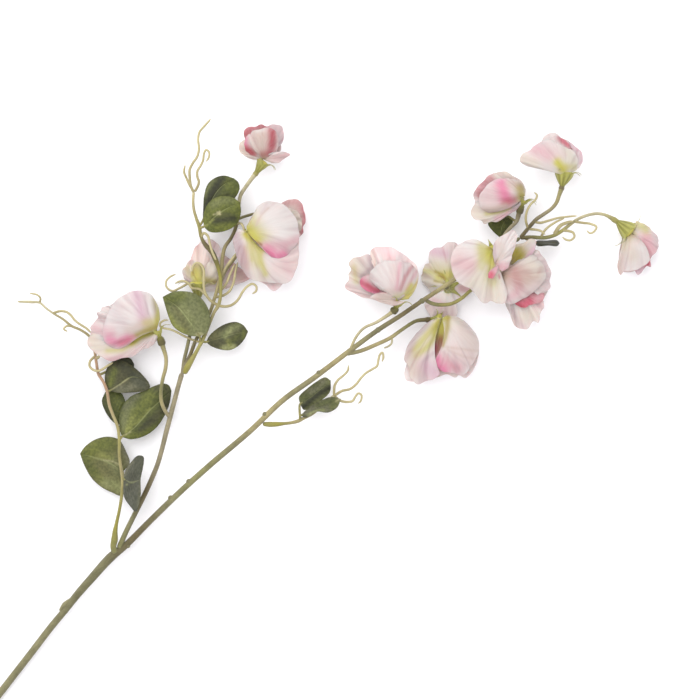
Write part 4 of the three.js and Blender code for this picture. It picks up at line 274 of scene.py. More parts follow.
# height: level of the claw above the table; the margin points of the petals are above that level.
# foot and mouth: ends of the calyx, and mm, the radius of its mouth.
# sides: points that the two straight edges of a petal pass through half-way out.
BLOOMS = [
    dict(name="bloom_01", height=17, claw=(156.5, 330.5), foot=(160, 338, 17), mouth=(157.6, 332.6, 17),
         mm=2.6, petals=[
        blade("standard", -12, (157, 316, -3), (149, 298, -5), (136, 293, -6), (120, 299, -6), (104, 310, -4),
              (93, 325, -3), (90, 341, -2), (99, 351, -2), (114, 358, -3), (130, 355, -3), (146, 346, -2),
              (157, 338, -1)),
        blade("lip", 3, (93, 333, 5), (88.4, 339, 3), (88.4, 346, 2), (94, 352, 1), (104, 358, 1),
              (112, 361.5, 2), (122, 358, 2), (133, 356.5, 2), (142, 350, 2), (152, 346, 1), (161, 334, 0),
              sides=((126, 337, 2), None)),
        blade("ruffle", 7, (113, 306, 2), (108, 305.6, 3), (103, 307, 3), (101.4, 311, 2), (97, 313, 3),
              (97.6, 318, 2), (94.6, 322.4, 2), (90.8, 327.6, 3), (93, 332.6, 3), (97, 337, 4), (104, 342, 4),
              frill=0.9),
        blade("hood", 13, (160, 319, 1), (158, 306, 2), (151, 295, 3), (139, 290.4, 3), (126, 294, 4),
              (113, 304.6, 5), (107.6, 316, 7), (103.6, 330, 7), (105, 342, 5), (112, 347.6, 4),
              (120, 348.6, 4), (128, 345.4, 3.4), sides=(None, (143, 335, 3)))]),
    dict(name="bloom_02", height=17.5, claw=(263.5, 159.4), foot=(256.5, 172.4, 17), mouth=(263, 162.4, 17.4),
         mm=3.8, petals=[
        blade("standard", 2, (246, 142, -1), (243.6, 135, 0), (244.6, 130, 1), (248, 127.4, 1), (255, 127, 2),
              (261, 124.8, 2), (267, 126, 2), (273, 124.2, 2), (279, 125, 2), (282.6, 129, 1), (284, 136, 0),
              (282, 143, -1), (277, 147.6, -1)),
        blade("back", -7, (246, 153, -2), (241, 148, -4), (246, 137, -6), (258, 131, -7), (271, 131, -7),
              (280, 140, -6), (280, 151, -4), (272, 158, -2)),
        blade("hood", 5, (277, 152, 2), (278.4, 142, 4), (276, 132, 6), (269, 128.4, 7), (260, 130, 8),
              (252, 133, 8), (250, 140, 9), (253, 148, 8), (258, 154, 6)),
        blade("left_lobe", 3, (255, 152, 4), (252, 140, 6), (249.6, 134.6, 6), (246, 138, 4), (244.6, 145, 3),
              (246, 151, 2), (250, 155, 2), small=True),
        blade("left_lip", 1, (245.6, 139.6, 1), (240.6, 142, 1), (238.8, 148, 1), (241, 153, 1),
              (246.6, 157, 1), (252, 159.4, 1), (257, 160, 0), small=True),
        blade("right_lip", 1, (268, 154.4, 4), (274, 152.6, 4), (279, 152, 4), (285, 152.6, 4),
              (290.6, 154.6, 4), (285, 158.4, 2), (279, 162.6, 1), (272, 163, 0), small=True)]),
    dict(name="bloom_03", height=23, claw=(247.6, 232.4), foot=(243, 239, 17.5), mouth=(246.2, 234.2, 21),
         mm=3, petals=[
        blade("standard", -11, (249, 222, -1), (253, 215, -3), (262, 206, -4), (278, 204, -5), (292, 213, -6),
              (298, 230, -6), (298, 250, -6), (294, 268, -5), (285, 282, -4), (274, 291, -3), (265, 284, -3),
              (252, 278, -4), (242, 266, -3), (237, 254, -2)),
        blade("lip", 5, (298, 242, 3), (299.4, 255, 3), (296.4, 268, 3), (292, 280, 3), (286, 283.6, 2),
              (274, 283, 2), (262, 282, 1), (252, 280, 0), (243, 270, 0), (237, 258, -1), (234, 246, -1),
              (234, 237, 0), (239, 229, 1), sides=((270, 252, 3), None), frill=1),
        blade("hood", 12, (247, 226, 1), (254, 215, 2), (258, 207, 2), (267, 202.4, 3), (277, 203, 3),
              (288, 208, 4), (296, 219, 4), (299, 232, 5), (298, 243, 6), (291, 251, 6), (285, 259, 5),
              (277, 261.4, 5), (269, 255.6, 4), sides=(None, (257, 242.6, 2.4)))]),
    dict(name="bloom_04", height=11, claw=(286.6, 216.6), foot=(283, 219.4, 8), mouth=(285.4, 217.6, 10),
         mm=2.2, petals=[
        blade("standard", 3, (280.4, 204.6, -1), (283, 201.4, 0), (288, 199.6, 1), (295, 198.6, 1),
              (300, 200.6, 1), (303, 208, 1), (305.6, 218, 1), (303.4, 227, 1), (302.4, 233, 0),
              (298, 238, 0), small=True),
        blade("back", -5, (281, 206, -2), (290, 202, -4), (299, 204, -5), (303, 216, -5), (301, 228, -4),
              (296, 236, -2), small=True),
        blade("wing", 3, (284, 209, 3), (290, 208, 4), (297, 211, 4), (301, 218, 4), (302, 226, 3),
              (299, 232, 2), small=True)]),
    dict(name="bloom_05", height=11.7, claw=(199, 287), foot=(198, 299, 11.7), mouth=(197.6, 283, 12.8),
         mm=5.1, petals=[
        blade("left_lobe", 2, (190, 285, 0), (184, 279, -2), (182, 271, -3), (185, 265.4, -3), (190, 260, -2),
              (195, 262, 0), small=True),
        blade("standard", 3, (188.6, 268, -2), (190.6, 257, -3), (195, 247, -4), (201, 240.6, -4),
              (208, 238.8, -4), (214.6, 240.6, -4), (219, 246.6, -4), (221, 254, -3), (219, 264, -1)),
        blade("right_lobe", 3, (216, 256, -3), (223, 254, -4), (231, 260.4, -5), (240, 268, -6),
              (247.4, 273, -6), (250.4, 277, -6), (245, 281, -6), (236, 284, -6), (227, 288, -4),
              (216, 291, -3), (206, 291.6, -1)),
        blade("bud", 4, (205, 283, 2.6), (206, 275, 3.6), (203.4, 267, 3.6), (198, 263, 3.6),
              (193, 266.6, 3.6), (190.4, 275, 3.6), (191.4, 284, 2.6), small=True, frill=0.2),
        blade("curl", 3.4, (215, 284, 2.4), (219, 277, 3), (218.4, 269, 3.6), (213, 263, 3.8),
              (208, 262.6, 3.6), (205, 268, 3), small=True, frill=0.2),
        blade("cup", -3, (189, 282, -4), (186, 272, -8), (193, 258, -10), (203, 250, -11), (214, 252, -11),
              (226, 262, -11), (236, 272, -10), (228, 281, -8), (212, 286, -4))]),
    dict(name="bloom_06", height=22, claw=(398, 300.6), foot=(395.4, 308.4, 22), mouth=(397.4, 302.8, 22),
         mm=3.4, petals=[
        blade("standard", 3, (409, 299, -2), (415, 290, -2), (418.4, 278, -1), (417, 268, 0), (410, 259.4, 0),
              (400, 252, 1), (390, 247.6, 1), (377, 247, 2), (371, 250, 3), (370.6, 259, 4), (374, 268, 4)),
        blade("back", -10, (411, 296, -4), (417, 278, -6), (408, 260, -8), (390, 251, -9), (372, 255, -8),
              (356, 264, -7), (350, 278, -6), (352, 290, -4), (366, 296, -3), (384, 302, -2)),
        blade("left_lip", -2, (371, 262, 3), (369.6, 255, 2), (360, 256.4, 2), (353, 259, 2), (349, 264, 1),
              (350.6, 269, 1), (348, 274, 1), (349, 280, 0), (345, 285, 0), (346, 289, 0), (354, 293, -1),
              (362, 297.4, -1), (371, 298.6, -1), sides=((380, 280, 1), (384, 300, 0)), frill=1.2),
        blade("front_lip", 2.6, (405, 295, 5), (400, 292.8, 6.4), (392, 293, 7.6), (382, 292.6, 7.6),
              (374, 294.4, 7), (369.4, 297.8, 4.6), (376, 300.6, 3.6), (384, 303.6, 4), (391, 305.6, 5),
              (398, 305.4, 5.4), (404, 302, 5), small=True, claw=(398, 300.6, 2.2)),
        blade("hood", 9, (417, 272, 3), (412, 265, 5), (402, 261.4, 7), (392, 261.4, 8), (385, 261, 8),
              (377.4, 265, 8), (372, 270, 7), (369.4, 277, 6), (373, 283, 5), (380, 290, 4),
              sides=((412, 288, 1), (390, 295, 4))),
        blade("keel", -0.6, (374, 274, 2.4), (366, 275.6, 2), (360.4, 279, 2), (360, 284, 2), (363.6, 289, 2),
              (369, 292, 2), (377, 292.8, 2), small=True, frill=0.2)]),
    dict(name="bloom_07", height=12.4, claw=(449.2, 287), foot=(448, 288.8, 18.4), mouth=(449, 287.4, 14),
         mm=3.6, petals=[
        blade("top", 3, (464, 262, -6), (462, 250, -7), (455, 242, -7), (449, 241.4, -6), (442, 246.4, -6),
              (434, 248, -7), (430, 253, -8), (429, 260, -8), (432, 267, -7)),
        blade("left", 3, (432, 262, -7), (426, 264, -7), (423, 271, -8), (421.4, 278, -8), (425, 284, -8),
              (430, 290, -8), (433, 297, -7), small=True),
        blade("bottom", 3, (430, 298, -7), (425, 304, -8), (428, 312, -9), (433, 318.6, -9), (445, 321, -9),
              (455, 318, -9), (458.4, 311, -9), (454, 303, -8), (450, 297, -6)),
        blade("right", 3, (453, 300, -7), (463, 297, -8), (471, 290, -8), (472, 278, -8), (468, 265, -8),
              small=True),
        blade("cup", -1, (440, 262, -10), (432, 270, -11), (430, 285, -11), (436, 300, -11), (448, 306, -11),
              (460, 299, -11), (465, 284, -11), (460, 268, -11), small=True)]),
    dict(name="bloom_08", height=15, claw=(442, 318.6), foot=(431, 319.5, 9.4), mouth=(440, 318.4, 13), mm=3,
         petals=[
        blade("standard", -10, (450, 316.4, -1), (464, 322, -3), (475, 333, -4), (479.4, 348, -4),
              (475.4, 366, -2), (466, 378.4, -2), (459, 375, -3), (456, 377.4, -3), (447, 374, -4),
              (436, 378, -4), (420, 382, -4), (406.6, 380.6, -2), (404.6, 373, -3), (407, 363, -4),
              (410, 346, -5), (417, 335, -4)),
        blade("left", 6, (440, 374.4, 3), (433, 379.4, 2), (424, 382, 2), (417, 384.2, 2), (411, 378, 1),
              (408, 366, 1), (404, 360, 1), (405.4, 352, 1), (409.4, 343, 0), (418, 332, 0), (429, 321.6, 0),
              (437, 317.6, 0), sides=((434.6, 346, 4), None)),
        blade("hood", 11, (447, 315.4, 1), (457, 317, 2), (467, 323.4, 3), (474, 332, 4), (479, 342, 5),
              (478, 350, 5), (475, 359, 5), (470, 367, 4), (466, 374, 4), (460, 375, 4), (452, 373, 4),
              (444, 371.4, 4), (438, 368, 5), (434.4, 361, 5), sides=(None, (443.4, 338, 7)), frill=3.2),
        blade("throat", 0.4, (449, 325, 2), (448, 336, 3), (446, 348, 3), (442, 358, 3), (436, 362, 3),
              (432, 355, 2.6), (431.6, 345, 2.4), (432.4, 334, 1.6), (435, 325, 0.6), small=True,
              frill=0.2)]),
    dict(name="bloom_09", height=29, claw=(492, 250), foot=(492, 252.4, 22.4), mouth=(492, 250.6, 27), mm=3.2,
         petals=[
        blade("left", 6, (487, 247.6, 1), (480, 242.4, 2), (474, 240, 3), (468, 240.4, 3), (462, 243, 3),
              (453, 250, 2), (450.4, 258, 2), (451, 267, 2), (453.6, 276, 2), (458, 283, 1), (464, 287, 0.6),
              (471, 289, 0.6), (476, 296, 1), (481, 302.4, 1), (485, 304, 1), (490, 301.4, 2),
              (496, 303.4, 2), (503, 302.6, 2), (507, 294, 3)),
        blade("back", -2, (485, 247, 0), (470, 245, -1), (456, 254, -1), (456, 272, -1), (466, 285, -1),
              (480, 298, -1), (498, 299, -1), (503, 288, -1)),
        blade("wing", 4, (491.6, 254, 6), (493, 244, 8), (500, 237, 9), (506, 233.4, 9), (512, 231, 9),
              (515.4, 235, 9), (514.6, 244, 9), (511, 256, 8), (507, 267, 7), (501, 272.4, 6),
              claw=(494, 265, 3)),
        blade("keel", 1, (493.6, 268.6, 8), (489.4, 271, 8.4), (487, 275, 8.4), (488, 278.6, 8),
              (491.6, 279, 8), (494.4, 275.4, 7.6), (497, 270, 7), small=True, frill=0.2,
              claw=(497, 265.6, 7))]),
    dict(name="bloom_10", height=21, claw=(507.4, 270.4), foot=(498, 275, 18.4), mouth=(504.4, 272, 20.2),
         mm=3, petals=[
        blade("standard", -10, (514, 260, -3), (533, 254, -5), (547, 267, -6), (549, 286, -6), (542, 303, -5),
              (534, 317, -5), (520, 322, -4), (508, 310, -3), (503, 296, -2)),
        blade("ruffle", 3, (519, 258, -1), (530, 252, 0), (536, 250, 0), (543, 257, 0), (548, 265, 0.4),
              (550.4, 274, 0.6), (549, 281, 1.4), (550.4, 287, 1.6), (545, 291.4, 2.4), (537, 295, 3),
              frill=1.1),
        blade("lip", 1, (543, 301, 1), (543.6, 308, 1), (540, 314, 1), (538, 323, 1), (533, 321, 0),
              (528, 328, 0), (522, 329.6, 0), (515, 326, -1), (510, 315, -1), (505, 303, -1),
              sides=((527, 285, 1), None), frill=1),
        blade("fold", -1, (506, 266, 1.6), (512.6, 246, 3), (518, 244.4, 4), (524, 243, 5), (530, 239, 6),
              (535.4, 241, 5), (534, 250, 5), (530, 257, 4), (521, 268, 2), small=True),
        blade("hood", 9, (503, 265, 4), (509, 264.6, 4), (515, 265, 4), (521, 263.6, 3.6), (525, 259.4, 3.4),
              (531, 255, 3), (539, 260, 4), (544, 268, 5), (545, 277, 5), (540, 285, 6), (533, 292, 6),
              (526, 297, 6), (519, 301, 6), (511, 304.4, 5), (504.4, 302.4, 4), (500, 297, 3.6),
              sides=(None, (499, 287, 3.4)), claw=(500, 275, 3.4)),
        blade("keel", 0.6, (513.6, 303, 4.6), (518, 306.6, 4.6), (524, 307.8, 4.4), (531.6, 304.6, 3.6),
              (538.7, 303, 3), (543.6, 298.6, 2), (543.6, 293, 1.4), small=True, frill=0.2,
              claw=(515, 290, 2))]),
    dict(name="bloom_11", height=22, claw=(524, 197), foot=(521, 206, 21), mouth=(522.6, 201.6, 21.5), mm=2.8,
         petals=[
        blade("standard", 3, (524, 187, 0), (520.4, 181, 1), (512, 176, 1), (505, 172, 2), (497, 173, 2),
              (489, 175.4, 2), (483, 181, 3), (476, 189, 3), (473, 196, 3), (475, 203, 3)),
        blade("back", -9, (523, 188, -2), (514, 179, -5), (500, 176, -6), (485, 183, -6), (476, 196, -6),
              (475, 211, -5), (484, 219, -4), (498, 218, -3), (512, 210, -2)),
        blade("lip", 2, (477, 201, 3), (472.4, 207, 2), (471, 213, 2), (474, 219.4, 1), (480, 221, 1),
              (483.6, 224, 1), (490, 222, 1), (497, 222, 1), (505, 217, 1), (515, 211, 0), (524, 204, 0),
              sides=((504, 208, 2), None)),
        blade("hood", 9, (525, 190, 1), (521, 183.4, 4), (513, 180, 6), (502, 179, 7), (492, 182, 8),
              (484, 189, 8), (479, 196, 8), (478.4, 203, 7), (481.4, 209, 6), (488, 213, 4),
              sides=(None, (508, 208.4, 3)))]),
    dict(name="bloom_12", height=20, claw=(565, 176), foot=(561.8, 186.4, 20), mouth=(564, 173, 20), mm=6,
         petals=[
        blade("back", -8, (548, 168, -3), (534, 164, -5), (524, 157, -6), (534, 148, -7), (550, 139, -8),
              (566, 143, -7), (577, 155, -5), (577, 167, -3)),
        blade("standard", 2, (549, 169, 0), (534, 160, 1), (538, 147, 1), (541, 142, 1), (545, 136, 2),
              (550, 133.4, 2), (556, 134, 2), (561, 138, 2), (568, 141, 2), (575, 147, 1), (581.4, 153, 0),
              (582.6, 160, 0), (579, 168, -1)),
        blade("wing", 6, (548, 140, 4), (554, 136.6, 5), (559, 137.4, 5), (566, 142.4, 5), (572, 149, 4),
              small=True),
        blade("hood", 9, (551, 170.4, 0.6), (536, 168, 1), (526, 166, 1), (519.4, 161, 2), (522, 154.4, 3),
              (530, 150.6, 4), (533.6, 146.6, 5), (541, 142.4, 6), (550, 140.4, 6), (557, 142, 6),
              (564, 146, 6), (571, 150.6, 5), (576.4, 157, 4), (577.4, 164, 2), (576, 170.4, 0.6))]),
    dict(name="bloom_13", height=12, claw=(630.6, 232.4), foot=(617.6, 221.4, 13), mouth=(629.6, 231, 12.2),
         mm=6, petals=[
        blade("back", -9, (622, 242, -3), (620, 256, -5), (621, 270, -6), (634, 271, -7), (646, 264, -7),
              (655, 250, -6), (656, 236, -5), (649, 227, -3), (640, 222, -1)),
        blade("standard", 1, (634, 268, 0), (638.6, 274.6, 0), (644, 270, 0), (647, 265.4, 0),
              (651.4, 267, 0), (651, 257, 0), (654, 246, 0)),
        blade("right", 5, (650, 259, 3), (653, 255.4, 3), (657, 251, 3), (659, 244, 2), (657.6, 236, 1),
              (653, 231, 1), (650, 227, 0), (643, 223, 0), (637, 221, 0), sides=((642, 243, 4), None)),
        blade("front", 7, (623.4, 238, 1), (622, 247, 1), (619.6, 257, 1), (618, 267, 1), (621, 275.4, 2),
              (624, 272, 3), (630, 270.4, 4), (636, 270, 5), (641, 267.4, 5), (645, 265, 5), (650, 260, 4),
              (651, 256, 3), sides=(None, (643.6, 241, 3)))])]
# Strokes of colour on petals: tint, strength, half width, then grid places. * stands for every petal. A few
# strokes are painted shade along creases and under edges, marked where they stand.
STROKES = dict(
    bloom_01=[
        ("hood", ("white", 0.6, 9, 118, 318, 132, 326), ("lilac", 0.85, 5.5, 136, 290, 141, 305, 145, 320),
         ("mauve", 0.5, 1.3, 145, 296, 149, 314), ("white", 0.8, 1.5, 150, 294, 152.5, 312),
         ("green", 0.8, 3, 156, 300, 159, 312, 158, 325), ("yellow", 0.8, 2.2, 159.4, 312, 158, 324),
         ("beige", 0.6, 5, 130, 331, 148, 323), ("olive", 0.8, 3, 138, 335, 146, 331, 157, 327),
         ("pink", 0.7, 6, 101, 329, 112, 333), ("hot", 0.8, 5.0, 110, 340, 119, 343, 128, 339),
         # painted shade: the wide mauve stroke at 116, 312 lies along a crease of the hood
         ("deep", 0.55, 3.0, 122, 343, 128, 341, 134, 337), ("mauve", 0.45, 7, 116, 312, 124, 322),
         ("yellow", 0.45, 4, 147, 323, 155, 321)),
        # painted shade: the thin mauve stroke on the ruffle lies along a crease
        ("ruffle", ("pink", 0.6, 5, 96, 328, 106, 334), ("mauve", 0.45, 1.5, 97, 316, 109, 328)),
        ("lip", ("cream", 0.9, 7, 91, 337, 99, 349, 118, 353),
         ("green", 0.7, 3, 108, 351, 124, 350, 136, 342),
         ("yellow", 0.95, 2.8, 132, 343, 143, 336, 157, 330.5),
         ("blush", 0.9, 4, 106, 359, 124, 357, 140, 349, 152, 342), ("pink", 0.45, 3, 108, 360, 122, 358))],
    bloom_02=[
        ("hood", ("beige", 0.9, 14, 262, 138, 264, 150), ("white", 0.6, 2.5, 258, 131, 266, 130),
         ("rose", 0.95, 4.4, 272, 129, 273, 140, 271, 152), ("crimson", 0.6, 3, 273, 133, 272, 146),
         ("crimson", 0.55, 3.4, 269, 154, 262, 155)),
        ("left_lobe", ("blush", 0.9, 5, 250, 134, 253, 141), ("hot", 0.8, 2.6, 245.4, 139, 245.4, 146),
         ("crimson", 0.95, 4.8, 247, 150, 253, 153), ("beige", 0.7, 2.5, 254.5, 142, 256, 150)),
        ("standard", ("rose", 0.95, 6, 244, 133, 250, 129, 258, 127, 264, 127),
         ("crimson", 0.5, 2.6, 245, 136, 249, 132), ("mauve", 0.8, 6, 276, 127, 282, 132, 281, 142)),
        ("back", ("rose", 0.8, 6, 245, 135, 255, 129, 264, 128)),
        ("left_lip", ("cream", 0.9, 7, 241, 144, 244, 154), ("beige", 0.5, 3, 244, 152, 252, 158)),
        ("right_lip", ("rose", 0.45, 5, 274, 157, 286, 155), ("blush", 0.7, 4, 264, 158, 274, 161),
         ("white", 0.8, 1.6, 273, 153.6, 283, 152.6))],
    bloom_03=[
        ("hood", ("green", 0.75, 9, 251, 222, 262, 236), ("yellow", 0.95, 5.5, 247, 229, 257, 240),
         ("white", 0.7, 12, 274, 220, 288, 232), ("beige", 0.6, 1.3, 257, 226, 262, 216, 269, 209),
         ("mauve", 0.35, 1.6, 268, 204, 262, 214), ("pink", 0.7, 4.6, 266, 247, 284, 246, 298, 240),
         ("hot", 0.95, 5.6, 268, 252, 277, 257, 284, 256), ("brown", 0.7, 1.5, 256, 242.5, 262, 245)),
        ("lip", ("mauve", 0.8, 5, 235, 236, 239, 256, 246, 274), ("rose", 0.4, 2.6, 244.5, 250, 248, 268),
         ("cream", 0.7, 6, 252, 260, 262, 280), ("yellow", 0.95, 3.4, 246, 235, 254, 242, 261, 251),
         ("green", 0.9, 3.2, 259, 248, 261, 262, 266, 274), ("green", 0.6, 2.2, 252, 243, 253, 260),
         ("blush", 0.85, 9, 279, 268, 295, 262), ("pink", 0.3, 4, 285, 262, 291, 277),
         ("rose", 0.45, 4, 243, 248, 246, 262), ("beige", 0.4, 4, 247, 250, 248, 264),
         ("green", 0.65, 5, 251, 247, 258, 263), ("mauve", 0.6, 2.6, 240, 240, 245, 262)),
        ("standard", ("mauve", 0.5, 6, 264, 283, 276, 289))],
    bloom_04=[
        ("*", ("beige", 0.8, 14, 292, 210, 300, 225)),
        ("standard", ("rose", 0.55, 3.4, 284, 203, 298, 201, 303, 208),
         ("rose", 0.85, 2.8, 303, 208, 305, 218, 302, 232)),
        ("*", ("rose", 0.3, 6, 298, 208, 303, 218)),
        ("back", ("rose", 0.7, 5, 284, 203, 298, 202, 304, 218, 302, 232)),
        ("wing", ("cream", 0.9, 7, 290, 212, 297, 222), ("beige", 0.6, 1.1, 290, 216, 297, 214),
         ("beige", 0.6, 1.1, 291, 221, 299, 219))],
    bloom_05=[
        ("*", ("beige", 0.6, 12, 200, 252, 204, 266), ("rose", 0.5, 1.8, 189, 266, 191, 256, 196, 246)),
        ("standard", ("mauve", 0.6, 5, 210, 243, 219, 254)),
        ("right_lobe", ("rose", 0.5, 8, 246, 277, 234, 272, 230, 264), ("beige", 0.6, 8, 236, 278, 222, 286)),
        ("left_lobe", ("mauve", 0.5, 4, 184, 270, 188, 280)),
        ("bud", ("green", 0.95, 9, 196, 268, 200, 278), ("yellow", 0.7, 4, 195, 268, 197, 280),
         ("olive", 0.8, 1.6, 192, 275, 193, 267, 198, 263, 203, 267, 204.5, 276)),
        ("curl", ("cream", 0.9, 6, 211, 265, 215, 274), ("olive", 0.8, 4, 206, 280, 214, 282)),
        ("cup", ("olive", 0.8, 8, 206, 280, 214, 284)),
        ("*", ("beige", 0.5, 6, 194, 250, 197, 262), ("green", 0.5, 4, 187, 268, 189, 274))],
    bloom_06=[
        ("standard", ("mauve", 0.6, 9, 378, 247, 393, 247, 408, 260), ("blush", 0.9, 5, 386, 250, 390, 262),
         # painted shade: the narrow beige stroke at 372, 252 runs down the left of the standard
         ("pink", 0.45, 4, 386, 249, 391, 258), ("beige", 0.8, 2.6, 372.5, 252, 374.5, 266),
         ("blush", 0.6, 6, 408, 262, 416, 276), ("green", 0.9, 5, 414, 284, 409, 294, 403, 302),
         ("yellow", 0.5, 2.5, 412, 287, 408, 296, 403, 302)),
        ("hood", ("blush", 0.7, 3.6, 391, 291, 394, 266), ("pink", 0.8, 2.2, 396, 290, 400, 264),
         ("rose", 0.7, 2.2, 400, 290, 405, 277, 413, 265), ("pink", 0.7, 2.0, 406, 290, 411, 280, 416, 272),
         ("beige", 0.5, 3, 378, 291, 396, 292.5), ("yellow", 0.8, 3, 411, 286, 405, 296)),
        ("left_lip", ("cream", 0.9, 9, 354, 264, 358, 276), ("green", 0.5, 2.6, 354, 267, 356, 282),
         ("blush", 0.9, 4.5, 347, 287, 358, 294, 374, 298),
         ("mauve", 0.7, 2.4, 369, 257, 372, 268, 362, 276)),
        ("keel", ("pink", 1.0, 12, 362, 280, 366, 289, 378, 292), ("blush", 0.8, 2, 368, 277, 374, 283),
         ("hot", 0.9, 2.2, 360.6, 280, 362, 286, 367, 290.6, 377, 292.6),
         ("deep", 0.95, 2.0, 367.5, 285, 372, 288.6, 378, 291), ("deep", 0.7, 3, 362, 283, 370, 289)),
        ("front_lip", ("beige", 0.8, 8, 380, 299, 398, 300),
         ("rose", 0.5, 1.3, 378, 293, 390, 292, 402, 292.5))],
    bloom_07=[
        ("top", ("lilac", 0.8, 5, 434, 251, 446, 254), ("blush", 0.6, 5, 450, 246, 456, 252),
         ("rose", 0.3, 1.2, 443, 247, 447, 262)),
        ("left", ("cream", 0.9, 7, 425, 274, 430, 286), ("green", 0.7, 3, 424, 270, 432, 272)),
        ("bottom", ("blush", 0.8, 9, 430, 310, 450, 314), ("mauve", 0.5, 1.4, 434, 306, 438, 318),
         ("mauve", 0.5, 1.4, 446, 308, 448, 320), ("pink", 0.5, 4, 433, 300, 441, 304)),
        ("right", ("rose", 0.6, 4, 462, 288, 469, 289)),
        ("*", ("green", 0.5, 8, 436, 268, 448, 270), ("yellow", 0.8, 5, 439, 277, 450, 275),
         ("olive", 0.75, 1.5, 436, 271.5, 442, 274, 447, 280),
         ("olive", 0.6, 1.2, 435, 281, 441, 282, 446, 285), ("brown", 0.5, 0.9, 439, 275.5, 444, 277.5)),
        ("cup", ("olive", 0.8, 5, 446, 288, 452, 290))],
    bloom_08=[
        # painted shade: the wide beige stroke at 462, 330 darkens the right side of the hood
        ("hood", ("beige", 0.45, 10, 462, 330, 474, 344), ("cream", 0.8, 6, 446, 322, 460, 319),
         ("yellow", 0.85, 3, 440, 320, 447, 317), ("blush", 0.8, 8, 454, 352, 470, 362),
         ("pink", 0.9, 6, 444, 362, 458, 368), ("olive", 0.75, 2.4, 448, 318, 447, 328, 445, 338, 442, 345),
         ("rose", 0.6, 2.0, 441, 344, 437, 352), ("hot", 1.0, 5.4, 435, 357, 437, 366, 444, 371),
         # painted shade: the thin beige, mauve and rose strokes on this and the next two lines run along the
         # hood's creases
         ("beige", 0.5, 1.1, 447, 349.5, 463, 356.5, 477, 359), ("mauve", 0.4, 1.0, 449, 351, 469, 368),
         ("mauve", 0.45, 1.0, 448, 354, 457, 367, 462, 373), ("beige", 0.6, 1.3, 446, 347, 478, 351),
         ("rose", 0.25, 1.6, 444, 352, 456, 372)),
        ("throat", ("yellow", 1.0, 7, 444, 320, 440, 336), ("brown", 0.9, 5, 440, 340, 437, 350),
         ("deep", 0.8, 2.4, 435, 346, 434, 360)),
        ("left", ("cream", 0.8, 6, 418, 345, 410, 372), ("green", 0.9, 3.6, 434, 326, 424, 338, 414, 350),
         ("green", 0.9, 3.4, 434, 338, 426, 348, 416, 356), ("mauve", 0.7, 3.6, 426, 324, 414, 336, 409, 350),
         ("yellow", 0.8, 2.6, 438, 320, 434, 334), ("lilac", 0.8, 8, 424, 366, 436, 374),
         ("mauve", 0.6, 1.8, 433, 353, 423, 361, 419, 372, 420, 382), ("beige", 0.5, 7, 413, 358, 416, 372))],
    bloom_09=[
        ("left", ("blush", 0.9, 10, 458, 262, 470, 268), ("pink", 0.5, 8, 460, 264, 470, 266),
         ("white", 0.8, 6, 466, 243, 478, 245), ("green", 0.8, 5, 480, 248, 482, 268),
         ("yellow", 0.85, 5, 488, 250, 490, 264), ("cream", 0.9, 10, 482, 282, 494, 296),
         ("green", 0.6, 6, 484, 270, 492, 282), ("yellow", 0.8, 4, 489, 256, 488, 268),
         ("rose", 0.8, 0.9, 498, 275.6, 498.6, 278.4), ("cream", 0.9, 4.6, 470, 285, 478, 276, 483, 268),
         ("green", 0.4, 2.4, 481, 269, 488, 258)),
        ("wing", ("mauve", 0.7, 3, 492, 246, 494, 262), ("white", 0.6, 5, 507, 238, 503, 256),
         ("pink", 0.85, 5, 498, 267, 506, 269), ("beige", 0.5, 4, 499, 246, 501, 256)),
        ("keel", ("pink", 1.0, 6, 496, 268, 491, 275), ("deep", 1.0, 3.4, 490, 275, 489, 277))],
    bloom_10=[
        ("fold", ("olive", 0.9, 9, 514, 250, 518, 260), ("yellow", 0.6, 7, 514, 252, 520, 258),
         ("lilac", 0.9, 2.2, 523, 263, 528, 256, 534, 249),
         ("cream", 0.9, 2.2, 513, 246, 524, 243, 532, 240)),
        ("hood", ("beige", 0.9, 13, 510, 272, 530, 278), ("cream", 0.7, 6, 530, 264, 537, 272),
         ("beige", 0.7, 2, 526, 279, 536, 277, 540, 268), ("brown", 0.3, 5, 502, 270, 505, 284),
         # the rose stroke at 515, 274 and the faint brown one at 516, 274 are the dome's pink with painted
         # shade in its hollow
         ("rose", 0.55, 6, 515, 274, 518, 288), ("pink", 0.6, 5, 508, 298, 518, 294),
         ("blush", 0.8, 5, 524, 294, 534, 287), ("brown", 0.22, 7, 516, 274, 524, 276),
         ("beige", 0.4, 5, 520, 272, 526, 280)),
        ("ruffle", ("mauve", 0.6, 3.6, 544, 262, 549, 280, 546, 289)),
        ("keel", ("rose", 0.85, 14, 516, 300, 543, 296), ("pink", 0.7, 3, 534, 300, 543, 296),
         ("deep", 1.0, 4.6, 517, 304.6, 524, 304.6, 529, 301.6), ("crimson", 0.5, 1.6, 516, 305, 523, 307)),
        ("lip", ("cream", 0.8, 7, 520, 318, 532, 314), ("mauve", 0.6, 3, 511, 310, 522, 327),
         ("pink", 0.5, 4, 536, 306, 541, 303))],
    bloom_11=[
        ("hood", ("blush", 0.6, 8, 482, 200, 490, 208), ("pink", 0.7, 7, 496, 186, 500, 200),
         ("hot", 0.9, 5.5, 501, 184, 503, 193, 506, 200), ("beige", 0.8, 5.5, 510, 184, 521, 186),
         ("olive", 0.75, 5, 519, 190, 522, 199), ("crimson", 0.65, 4, 504, 204, 513, 201),
         ("beige", 0.8, 3.4, 484, 211, 496, 210, 504, 207)),
        ("standard", ("rose", 0.8, 5, 479, 191, 485, 183, 491, 179),
         # painted shadow: the thin crimson crescent on the standard lies under the edge of the hood
         ("crimson", 0.6, 1.8, 479, 197, 484, 191, 492, 185), ("cream", 0.8, 5, 498, 174, 510, 176),
         ("beige", 0.8, 4, 512, 180, 524, 187)),
